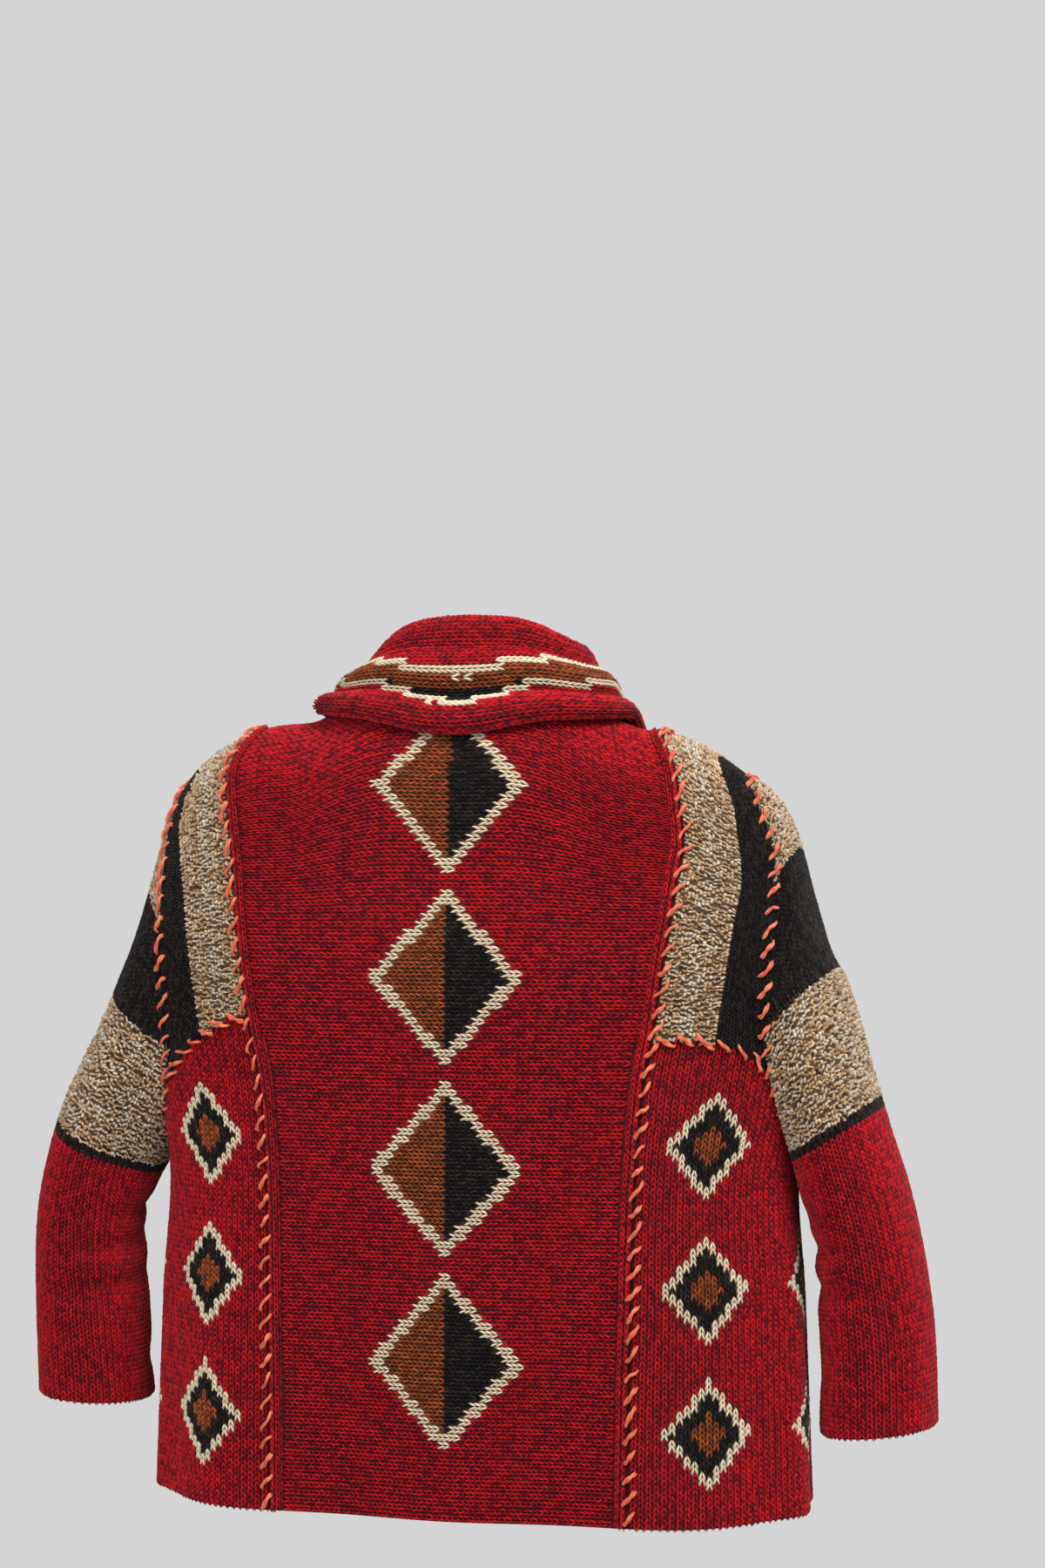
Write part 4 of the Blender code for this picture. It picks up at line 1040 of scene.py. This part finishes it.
# %% Wool
def make_wool(name, fleck, ply_contrast, roughness):
    """Wool of two twisted plies, with fine fibres; colours come with the mesh."""
    material, tree, shader = dull_material(name, roughness, WOOL_SHEEN, WOOL_SPECULAR)
    shader.inputs["Sheen Roughness"].default_value = WOOL_SHEEN_ROUGHNESS
    plies = [add_node(tree, "ShaderNodeAttribute", attribute_name=ply).outputs["Color"]
             for ply in ("ply_a", "ply_b")]
    leg = add_node(tree, "ShaderNodeUVMap", uv_map="leg")
    split = add_node(tree, "ShaderNodeSeparateXYZ", {0: leg.outputs[0]})
    wave = maths(tree, "SINE", maths(tree, "ADD", maths(tree, "MULTIPLY", split.outputs[0], TWIST_ALONG),
                                     maths(tree, "MULTIPLY", split.outputs[1], TWIST_ROUND)))
    place = add_node(tree, "ShaderNodeTexCoord").outputs["Object"]
    flecks, fibres = (add_node(tree, "ShaderNodeTexNoise",
                               {"Vector": place, "Scale": scale, "Detail": detail}).outputs[0]
                      for scale, detail in ((FLECK_SCALE, FLECK_DETAIL), (FIBRE_SCALE, FIBRE_DETAIL)))
    lean = maths(tree, "ADD", maths(tree, "MULTIPLY", wave, ply_contrast),
                 maths(tree, "MULTIPLY", maths(tree, "SUBTRACT", flecks, 0.5), fleck))
    share = add_node(tree, "ShaderNodeClamp", {0: maths(tree, "ADD", lean, 0.5)})
    mix = add_node(tree, "ShaderNodeMix", {"Factor": share.outputs[0], 6: plies[0], 7: plies[1]},
                   data_type="RGBA")
    tree.links.new(mix.outputs[2], shader.inputs["Base Color"])
    height = maths(tree, "ADD", maths(tree, "MULTIPLY", wave, PLY_HEIGHT), fibres)
    add_bump(tree, shader, height, *WOOL_BUMP)
    return material


# %% Purl side
def make_purl(name):
    """Plain cloth under the stitches: purl bumps in rows, in the painted shade that the mesh brings."""
    material, tree, shader = dull_material(name, PURL_ROUGHNESS, PURL_SHEEN, PURL_SPECULAR)
    colour = add_node(tree, "ShaderNodeAttribute", attribute_name="ply_a")
    tree.links.new(colour.outputs["Color"], shader.inputs["Base Color"])
    cells = add_node(tree, "ShaderNodeUVMap", uv_map="leg")
    split = add_node(tree, "ShaderNodeSeparateXYZ", {0: cells.outputs[0]})
    across, along = (maths(tree, "ABSOLUTE", maths(tree, "SINE", maths(tree, "MULTIPLY", way, turns)))
                     for way, turns in ((split.outputs[0], 2 * math.pi), (split.outputs[1], math.pi)))
    add_bump(tree, shader, maths(tree, "MULTIPLY", across, along), *PURL_BUMP)
    return material


# %% [markdown]
# ## Meshes
#
# One stitch could be made with bmesh and copied, but each of the tens of thousands of stitches
# here has its own bend and size. So the points of all of them are worked out together as arrays,
# and Blender gets each piece's mesh in one go.

# %% Mesh from arrays
def make_mesh(name, points, faces, colours, uv_maps, material):
    """An object from arrays: faces all have as many corners; colours are by point."""
    mesh = bpy.data.meshes.new(name)
    corners = faces.shape[1]
    mesh.vertices.add(len(points))
    mesh.vertices.foreach_set("co", np.ascontiguousarray(points, np.float32).ravel())
    mesh.loops.add(faces.size)
    mesh.loops.foreach_set("vertex_index", np.ascontiguousarray(faces, np.int32).ravel())
    mesh.polygons.add(len(faces))
    mesh.polygons.foreach_set("loop_start", np.arange(0, faces.size, corners, dtype=np.int32))
    mesh.polygons.foreach_set("use_smooth", np.ones(len(faces), bool))
    for attribute, (domain, values) in colours.items():
        layer = mesh.color_attributes.new(attribute, "FLOAT_COLOR", domain)
        layer.data.foreach_set("color", np.ascontiguousarray(values, np.float32).ravel())
    for label, values in uv_maps.items():
        layer = mesh.uv_layers.new(name=label)
        layer.uv.foreach_set("vector", np.ascontiguousarray(values, np.float32).ravel())
    mesh.update(calc_edges=True)
    mesh.validate()
    mesh.materials.append(material)
    piece = bpy.data.objects.new(name, mesh)
    bpy.context.collection.objects.link(piece)
    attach(piece, "root")
    return piece


# %% [markdown]
# ### Stitches
#
# A plain stitch shows as a V of two slanted legs, and the ends of each leg go under the next row.
# A leg is eight triangles round a raised middle line. Tweed is knitted from lumpy yarn that
# hides its stitches, so it gets short bumps in mixed directions instead.

# %% Legs of the stitches
# Painted shade on the stitches: each leg is darkened from its raised middle line towards its sides and ends,
# where it dips under its neighbours; pale yarns are darkened less.
LEG_PAINTED_SHADE = np.array((0.17, 0.14, 0.13))  # how dark a leg is along its sides, red, green and blue
PALE_LEG_PAINTED_SHADE = np.array((0.46, 0.38, 0.30))
PALE_YARNS = ("beige", "oat", "cream")
# across and along the stitch in shares of its cell, height in shares of the stitch height, and
# along and across the leg
LEG = np.array(((0.05, -0.42, -0.20, 0.00, 0.5),
                (0.00, 0.18, 0.00, 0.30, 0.0), (0.13, 0.10, 1.00, 0.30, 0.5), (0.26, 0.00, 0.00, 0.30, 1.0),
                (0.20, 0.98, 0.00, 0.72, 0.0), (0.34, 0.88, 0.92, 0.72, 0.5), (0.48, 0.76, 0.00, 0.72, 1.0),
                (0.45, 1.44, -0.25, 1.00, 0.5)))
# the bumps of tweed, in place of slanted legs
BUMP = np.array(((0.25, -0.04, -0.10), (-0.02, 0.26, 0.05), (0.25, 0.24, 1.00), (0.51, 0.26, 0.05),
                 (-0.01, 0.74, 0.05), (0.25, 0.76, 1.00), (0.50, 0.74, 0.05), (0.25, 1.04, -0.10)))
TWEED_YARNS = ("beige", "oat")
TWEED_LEAN = 0.32             # how far the bumps lean at random
TWEED_SHIFT = 0.26            # how far they are moved along at random, in stitches
TWEED_CROSSWISE = 0.50        # share of the bumps that lie across
CROSSWISE_SIZE = (0.72, 1.15)  # their length in stitches across, and how much wider they are
BUMP_MIDDLE = (0.25, 0.5)     # middle of a bump, across and along
MOST_LEAN = 0.5
TWEED_UNEVENNESS, PLAIN_UNEVENNESS = 0.22, 0.07
MOST_UNEVENNESS = (-2, 2)     # limits, in times the unevenness
BAKE_MARGIN, BAKE_SIZE = 0.08, 0.84
LEG_FACES = np.array(((0, 3, 2), (0, 2, 1), (1, 2, 5), (1, 5, 4), (2, 3, 6), (2, 6, 5), (4, 5, 7),
                      (5, 6, 7)))


def bake_cells(count, local):
    """UVs that give each of count items its own square of the sheet."""
    side = math.ceil(math.sqrt(count))
    number = np.arange(count)
    origin = np.stack([number % side, number // side], -1) / side
    return origin[:, None] + (BAKE_MARGIN + BAKE_SIZE * local[None]) / side


print("triangles in each stitch:", 2 * len(LEG_FACES))

# %% Points of the stitches
def stitch_points(cells, yarns):
    """Points of both legs of every stitch, for cells of centre, across, along and normal."""
    centre, across, along, normal = cells
    count = len(centre)
    is_tweed = np.isin(yarns.astype(str), TWEED_YARNS)[:, None, None]
    middle_s, middle_t = BUMP_MIDDLE
    legs = []
    for mirror in (1, -1):
        s, t, h = (np.where(is_tweed, BUMP[None, :, i, None], LEG[None, :, i, None]) for i in range(3))
        lean = random.normal(0, TWEED_LEAN, (count, 1, 1)).clip(-MOST_LEAN, MOST_LEAN)
        s = s + is_tweed * lean * (t - middle_t)
        is_across = is_tweed & (random.random((count, 1, 1)) < TWEED_CROSSWISE)
        s, t = (np.where(is_across, middle_s + (t - middle_t) * CROSSWISE_SIZE[0], s),
                np.where(is_across, middle_t + (s - middle_s) * CROSSWISE_SIZE[1], t))
        unevenness = np.where(is_tweed, TWEED_UNEVENNESS, PLAIN_UNEVENNESS)
        long, high = (1 + unevenness * random.normal(0, 1, (count, 1, 1)).clip(*MOST_UNEVENNESS)
                      for _ in range(2))
        height = STITCH_HEIGHT * high
        t = (middle_t - t) * long + is_tweed * random.normal(0, TWEED_SHIFT, (count, 1, 1))
        legs.append(centre[:, None] + across[:, None] * s * mirror + along[:, None] * t
                    + normal[:, None] * h * height)
    return np.stack(legs, 1)


# %% Stitches of a patch
def cells_of(area):
    """Centre, across, along and normal of each stitch cell that is kept, and its yarn."""
    points, normals = area["points"], area["normals"]
    centre = middles(points)
    first = (points[:-1, 1:] + points[1:, 1:] - points[:-1, :-1] - points[1:, :-1]) / 2
    second = (points[:-1, :-1] + points[:-1, 1:] - points[1:, :-1] - points[1:, 1:]) / 2
    normal = unit(middles(normals))
    if area["wales_across"]:
        first, second = second, first
    keep = area["keep"] if area["keep"] is not None else np.ones(centre.shape[:2], bool)
    centre = centre + normal * CLOTH_FACE
    return [a[keep] for a in (centre, first, second, normal)], area["yarns"][keep]


def make_stitches(name, area, material):
    """All stitches of a patch, as one object."""
    cells, yarns = cells_of(area)
    points = stitch_points(cells, yarns).reshape(-1, len(LEG), 3)
    across, along, normal = (np.repeat(c, 2, axis=0) for c in cells[1:])
    legs = len(points)
    flipped = np.sum(np.cross(across, along) * normal, axis=1) > 0
    left_leg = np.tile((False, True), len(yarns))
    turn_over = (flipped == left_leg)
    faces = np.where(turn_over[:, None, None], LEG_FACES[None, :, ::-1], LEG_FACES[None])
    faces = faces + (np.arange(legs) * len(LEG))[:, None, None]
    colours = {}
    for ply, label in enumerate(("ply_a", "ply_b")):
        leg_colours = ply_colours(np.repeat(yarns, 2), ply)
        is_pale = np.repeat(np.isin(yarns.astype(str), PALE_YARNS), 2)[:, None]
        base = np.where(is_pale, PALE_LEG_PAINTED_SHADE, LEG_PAINTED_SHADE)[:, None]
        by_point = np.repeat(leg_colours[:, None], len(LEG), axis=1)
        # painted shade: each leg is darker towards its low points
        by_point[..., :3] *= base + (1 - base) * np.clip(LEG[:, 2:3], 0, 1)
        colours[label] = ("POINT", by_point)
    flat = faces.reshape(-1, 3)
    local = np.tile(LEG[:, 3:5], (legs, 1))
    bake = bake_cells(legs, LEG[:, 3:5]).reshape(-1, 2)
    uv_maps = {"leg": local[flat.ravel()], "OFBake": bake[flat.ravel()]}
    return make_mesh(name, points.reshape(-1, 3), flat, colours, uv_maps, material)


# %% [markdown]
# ### Cloth
#
# Under the stitches lies the cloth itself, a closed sheet that takes the place of the packed
# model's plain wall. A few large faces would lie beside the curved rows of stitches, so on both
# sides it has about one face for each stitch, or for two on the sleeves and strips.

# %% Cloth under the stitches
# Painted shade between the stitches: the cloth takes its yarn's colour, darkened by these shares for the
# shade in the gaps.
CLOTH_PAINTED_SHADE = (0.13, 0.10, 0.08)  # how dark the cloth looks between the legs, red, green and blue
CLOTH_BAKE = (0.46, 0.98)     # width and height of each side's part of the sheet
CLOTH_BAKE_EDGE = 0.01
CLOTH_BAKE_UNDER = 0.50       # where the underside's part starts


def make_cloth(name, area, material):
    """A closed cloth with a face for each cell of its patch on both its sides."""
    points, normals = area["points"], area["normals"]
    rows, columns = points.shape[:2]
    faces_of_cloth = (points + normals * CLOTH_FACE, points + normals * CLOTH_BACK)
    if area["tube"]:
        for face in faces_of_cloth:
            face[:, -1] = face[:, 0]
    corner = np.arange(rows * columns).reshape(rows, columns)
    if area["tube"]:
        corner[:, -1] = corner[:, 0]
    quads = np.stack([corner[:-1, :-1], corner[1:, :-1], corner[1:, 1:], corner[:-1, 1:]], -1)
    quads = quads.reshape(-1, 4)
    under = corner.size
    rims = [corner[0, ::-1], corner[-1]]
    if not area["tube"]:
        rims += [corner[:, 0], corner[::-1, -1]]
    rim_quads = [np.stack([r[:-1], r[1:], r[1:] + under, r[:-1] + under], -1) for r in rims]
    faces = np.concatenate([quads, quads[:, ::-1] + under] + rim_quads)
    turned = np.sum(np.cross(points[0, 1] - points[0, 0], points[1, 0] - points[0, 0])
                    * normals[0, 0]) > 0
    if turned:
        faces = faces[:, ::-1]
    yarns = area["yarns"].reshape(-1)
    cell_colours = ply_colours(yarns, 0)
    # painted shade: the cloth is much darker than its yarn, for the shade between the legs
    cell_colours[:, :3] *= CLOTH_PAINTED_SHADE
    rim_colours = np.concatenate([np.resize(cell_colours, (len(r), 4)) for r in rim_quads])
    face_colours = np.concatenate([cell_colours, cell_colours, rim_colours])
    colours = {"ply_a": ("CORNER", np.repeat(face_colours, 4, axis=0))}
    row, column = np.divmod(np.arange(corner.size), columns)
    spot = np.stack([column, row], -1).astype(float)
    spot = np.concatenate([spot, spot])
    bake = spot / np.array((columns - 1, rows - 1)) * np.array(CLOTH_BAKE) + CLOTH_BAKE_EDGE
    bake[under:, 0] += CLOTH_BAKE_UNDER
    flat = faces.ravel()
    uv_maps = {"leg": spot[flat], "OFBake": bake[flat]}
    if area["tube"]:
        last = np.isin(np.arange(len(faces)), np.concatenate(
            [np.arange(columns - 2, len(quads), columns - 1),
             len(quads) + np.arange(columns - 2, len(quads), columns - 1)]))
        for label, width in (("leg", columns - 1.0), ("OFBake", CLOTH_BAKE[0])):
            uv = uv_maps[label].reshape(-1, 4, 2)
            low = uv[..., 0] < uv[..., 0].max(axis=1, keepdims=True) - width / 2
            uv[..., 0] = np.where(last[:, None] & low, uv[..., 0] + width, uv[..., 0])
            uv_maps[label] = uv.reshape(-1, 2)
    both = np.concatenate([f.reshape(-1, 3) for f in faces_of_cloth])
    return make_mesh(name, both, faces, colours, uv_maps, material)


# %% [markdown]
# ## Sewing
#
# The seams are sewn over with coral wool, and the slanted whip stitches show. A screw modifier
# could twist one stitch, but each follows its own place on the seam. So every whip is two plies
# wound round a path that rises over the seam and dips into the cloth at both ends.

# %% Whip stitches
WHIP_PITCH = 0.0146
WHIP_HALF = (0.0044, 0.0060)        # half reach across the seam, and along it
WHIP_RISE = 0.0046
PLY_RADIUS = 0.00115
PLY_OFFSET = 0.00085
PLY_TURNS = 0.9
WHIP_STATIONS = 8
WHIP_SIDES = 6
WHIP_UNEVENNESS = (0.07, 0.18)      # of the reach, and of the slant
WHIP_FLATNESS = 6                   # a higher power keeps the top level for longer
WHIP_TAPER, TAPER_POWER = 0.25, 8
PHASES = (0, 6.28)                  # limits of the twist that a ply starts with
ARMHOLE_LEAN = 0.5                  # how far the armhole's whips face along the sleeve
STRIP_END_SHARES = (0.03, 0.97, 30)  # first and last share of the seam under a strip, and points


def along_line(points, normals, pitch):
    """Evenly spaced points on a line, with their normals and the way that the line runs."""
    length = lengths_along(points)
    count = round(length[-1] / pitch)
    at = (np.arange(count) + 0.5) * length[-1] / count
    run = unit(np.gradient(points, axis=0))
    return [np.stack([np.interp(at, length, a[:, c]) for c in range(3)], -1)
            for a in (points, normals, run)]


print("whip stitches to 100 mm of seam:", round(0.1 / WHIP_PITCH, 1))

# %% Whips of a seam
def make_whips(name, lines, material):
    """All whip stitches along some seams, as one object."""
    share = np.linspace(-1, 1, WHIP_STATIONS)
    around = np.arange(WHIP_SIDES) * 2 * np.pi / WHIP_SIDES
    rings = []
    for points, normals in lines:
        at, up, run = along_line(settled(points), normals, WHIP_PITCH)
        up, run = unit(up), unit(run)
        over = unit(np.cross(run, up))
        count = len(at)
        reach, slant = (random.normal(1, spread, (count, 1, 1)) for spread in WHIP_UNEVENNESS)
        rise = WHIP_RISE * (1 - share ** WHIP_FLATNESS)
        path = (at[:, None] + over[:, None] * share[None, :, None] * WHIP_HALF[0] * reach
                + run[:, None] * share[None, :, None] * WHIP_HALF[1] * slant
                + up[:, None] * rise[None, :, None])
        ahead = unit(np.gradient(path, axis=1))
        level = unit(np.cross(ahead, up[:, None]))
        stand = np.cross(level, ahead)
        thin = 1 - WHIP_TAPER * share ** TAPER_POWER
        for phase in (0, np.pi):
            twist = phase + PLY_TURNS * np.pi * share + random.uniform(*PHASES, (count, 1))
            middle = path + PLY_OFFSET * (level * np.cos(twist)[..., None]
                                          + stand * np.sin(twist)[..., None])
            ring = (middle[:, :, None] + PLY_RADIUS * thin[None, :, None, None]
                    * (level[:, :, None] * np.cos(around)[:, None]
                       + stand[:, :, None] * np.sin(around)[:, None]))
            rings.append(ring)
    rings = np.concatenate(rings)
    tubes = len(rings)
    ring_corner = np.arange(WHIP_STATIONS * WHIP_SIDES).reshape(WHIP_STATIONS, WHIP_SIDES)
    next_corner = np.roll(ring_corner, -1, axis=1)
    quads = np.stack([ring_corner[:-1], next_corner[:-1], next_corner[1:], ring_corner[1:]], -1)
    faces = quads.reshape(-1, 4) + (np.arange(tubes) * ring_corner.size)[:, None, None]
    faces = faces.reshape(-1, 4)
    yarns = np.full(tubes, "coral", dtype=object)
    colours = {label: ("POINT", np.repeat(ply_colours(yarns, ply), ring_corner.size, axis=0))
               for ply, label in enumerate(("ply_a", "ply_b"))}
    column = np.arange(WHIP_SIDES)
    local = np.stack(np.broadcast_arrays(np.linspace(0, 1, WHIP_STATIONS)[:, None],
                                         column[None] / WHIP_SIDES), -1)
    quad_local = np.stack([local[:-1], np.stack([local[:-1, :, 0], local[:-1, :, 1] + 1 / WHIP_SIDES], -1),
                           np.stack([local[1:, :, 0], local[1:, :, 1] + 1 / WHIP_SIDES], -1),
                           local[1:]], -2).reshape(-1, 2)
    bake = bake_cells(tubes, quad_local).reshape(-1, 2)
    uv_maps = {"leg": np.tile(quad_local, (tubes, 1)), "OFBake": bake}
    piece = make_mesh(name, rings.reshape(-1, 3), faces, colours, uv_maps, material)
    print(name + ":", tubes // 2, "whip stitches")
    return piece


# %% Lines of the seams
def inner_seam_line(which):
    """The seam beside the strips, from the back hem over the shoulder to the front hem."""
    side = SIDES[which]
    hem = inner_seam_hem()
    reach = np.linspace(-hem, hem, FINE_STEPS)
    points, normals = with_normals(over_shoulder, inner_seam(reach, side), reach)
    return mirrored(points, side), mirrored(normals, side)


def armhole_line(which):
    """The armhole seam, from under the arm up the back, over the shoulder and down the front."""
    side = SIDES[which]
    loop = armhole_loop(side)
    start = STRIP_ROWS + UNDERARM_COLUMNS
    order = np.r_[np.arange(start, -1, -1), np.arange(len(loop["points"]) - 1, start - 1, -1)]
    sleeve_way = unit(loop["points"] - loop["points"].mean(axis=0)) * np.array((0, 1, 1))
    normals = unit(loop["normals"] + ARMHOLE_LEAN * sleeve_way)
    return mirrored(loop["points"][order], side), mirrored(normals[order], side)


def strip_end_lines(which):
    """The seams under a yoke strip, behind and in front, each from the inner seam outwards."""
    side = SIDES[which]
    ends = strip_ends(side)
    share = np.linspace(*STRIP_END_SHARES)
    x = inner_seam(ends[0], side) * (1 - share) + armhole_seam(ends[1], side) * share
    reach = ends[0] * (1 - share) + ends[1] * share
    lines = []
    for facing in (-1, 1):
        points, normals = with_normals(over_shoulder, x, facing * reach)
        lines.append((mirrored(points, side), mirrored(normals, side)))
    return lines


# %% [markdown]
# ## Dressing the pieces
#
# Now each knitted piece gets its cloth and stitches. They hang on the one body of the garment.


def dress(node, slot, cloth_patch, stitch_patch, sewing=()):
    """Make one piece's cloth and stitches in place of its plain CAD wall."""
    wool = WOOLS[slot]
    cloth = make_cloth(node + "_cloth", cloth_patch, PURLS[slot])
    stitches = make_stitches(node + "_stitches", stitch_patch, wool)
    print(node + ":", len(stitches.data.polygons) // (2 * len(LEG_FACES)), "stitches")
    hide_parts(node)
    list(sewing)


# %% The garment's wools
# name, contrast of the flecks and of the plies, roughness
WOOL_LOOKS = {"red_marl": ("red_marl_wool", 0.9, 0.42, 0.86), "collar_knit": ("collar_wool", 0.9, 0.40, 0.86),
              "side_knit": ("side_wool", 0.9, 0.40, 0.86), "strip_knit": ("strip_wool", 1.6, 0.30, 0.92),
              "sleeve_knit": ("sleeve_wool", 1.6, 0.30, 0.92), "coral_yarn": ("coral_wool", 0.7, 0.35, 0.80)}
WOOLS = {slot: make_wool(*looks) for slot, looks in WOOL_LOOKS.items()}
PURLS = {slot: make_purl(slot + "_cloth") for slot in WOOLS if slot != "coral_yarn"}
print("wools:", *WOOLS)

# %% The garment
rolls = [make_stitches("rolled_edge_" + which, roll_patch(which), WOOLS["red_marl"]) for which in SIDES]
dress("back_panel", "red_marl", *back_patches(), rolls)
collar = collar_patch()
dress("collar", "collar_knit", collar, collar)
for which in SIDES:
    sewing = [make_whips("seam_stitches_" + which,
                         [inner_seam_line(which), armhole_line(which), *strip_end_lines(which)],
                         WOOLS["coral_yarn"])]
    front = front_patch(which)
    dress("front_" + which, "red_marl", front, front)
    dress("strip_" + which, "strip_knit", *strip_patches(which), sewing)
    dress("side_" + which, "side_knit", *side_patches(which))
    dress("sleeve_" + which, "sleeve_knit", *sleeve_patches(which))

# %% [markdown]
# ## Stage, light and camera
#
# The photograph has a plain pale background and soft light from above. A pale floor far below and
# an even grey world give the background, and large area lamps give soft shadows. The camera
# stands behind the wearer, a little to the right and level with the shoulders.

# %% Stage
FLOOR_HEIGHT = -1.10
FLOOR_SIZE = 3.0
FLOOR_GREY, FLOOR_ROUGHNESS = 0.62, 0.8
BACKGROUND_GREY = 0.66


def make_plain(name, grey, roughness):
    material = bpy.data.materials.new(name)
    material.use_nodes = True
    shader = material.node_tree.nodes["Principled BSDF"]
    shader.inputs["Base Color"].default_value = (grey, grey, grey, 1)
    shader.inputs["Roughness"].default_value = roughness
    return material


floor_form = bmesh.new()
bmesh.ops.create_grid(floor_form, x_segments=1, y_segments=1, size=FLOOR_SIZE / 2)
bmesh.ops.translate(floor_form, verts=floor_form.verts, vec=(0, 0, FLOOR_HEIGHT))
floor_mesh = bpy.data.meshes.new("floor")
floor_form.to_mesh(floor_mesh)
floor_form.free()
floor_mesh.materials.append(make_plain("floor_paint", FLOOR_GREY, FLOOR_ROUGHNESS))
floor = bpy.data.objects.new("floor", floor_mesh)
bpy.context.collection.objects.link(floor)

world = bpy.data.worlds.new("studio")
world.use_nodes = True
background = world.node_tree.nodes["Background"]
background.inputs["Color"].default_value = (BACKGROUND_GREY, BACKGROUND_GREY, BACKGROUND_GREY, 1)
background.inputs["Strength"].default_value = 1.0
bpy.context.scene.world = world

# %% Camera
CAMERA_AZIMUTH = math.radians(14)
CAMERA_DISTANCE = 2.6
CAMERA_TARGET = Vector((0.0285, 0.0071, -0.064))
CAMERA_LENS = 117.9
SENSOR_WIDTH = 36

away = Vector((math.sin(CAMERA_AZIMUTH), -math.cos(CAMERA_AZIMUTH), 0))
camera = bpy.data.objects.new("camera", bpy.data.cameras.new("camera"))
camera.location = CAMERA_TARGET + away * CAMERA_DISTANCE
camera.rotation_euler = (-away).to_track_quat("-Z", "Y").to_euler()
camera.data.sensor_fit = "HORIZONTAL"
camera.data.sensor_width = SENSOR_WIDTH
camera.data.lens = CAMERA_LENS
bpy.context.collection.objects.link(camera)
bpy.context.scene.camera = camera
print("camera at:", [round(c, 3) for c in camera.location])

# %% Light
# across and above the target from the camera's side, distance towards the camera, size, power
LIGHTS = {"key": (0.7, 1.6, 1.7, 1.2, 64), "fill": (-1.5, 0.6, 1.7, 2.0, 16),
          "front": (0.2, 1.4, -1.8, 2.0, 24)}
right_of_camera = Vector((math.cos(CAMERA_AZIMUTH), math.sin(CAMERA_AZIMUTH), 0))
for name, (across, above, nearer, size, power) in LIGHTS.items():
    lamp = bpy.data.objects.new(name, bpy.data.lights.new(name, "AREA"))
    lamp.location = CAMERA_TARGET + right_of_camera * across + Vector((0, 0, above)) + away * nearer
    lamp.rotation_euler = (CAMERA_TARGET - lamp.location).to_track_quat("-Z", "Y").to_euler()
    lamp.data.size = size
    lamp.data.energy = power
    bpy.context.collection.objects.link(lamp)
bpy.context.scene.view_settings.view_transform = "Standard"
print("lights:", *LIGHTS)
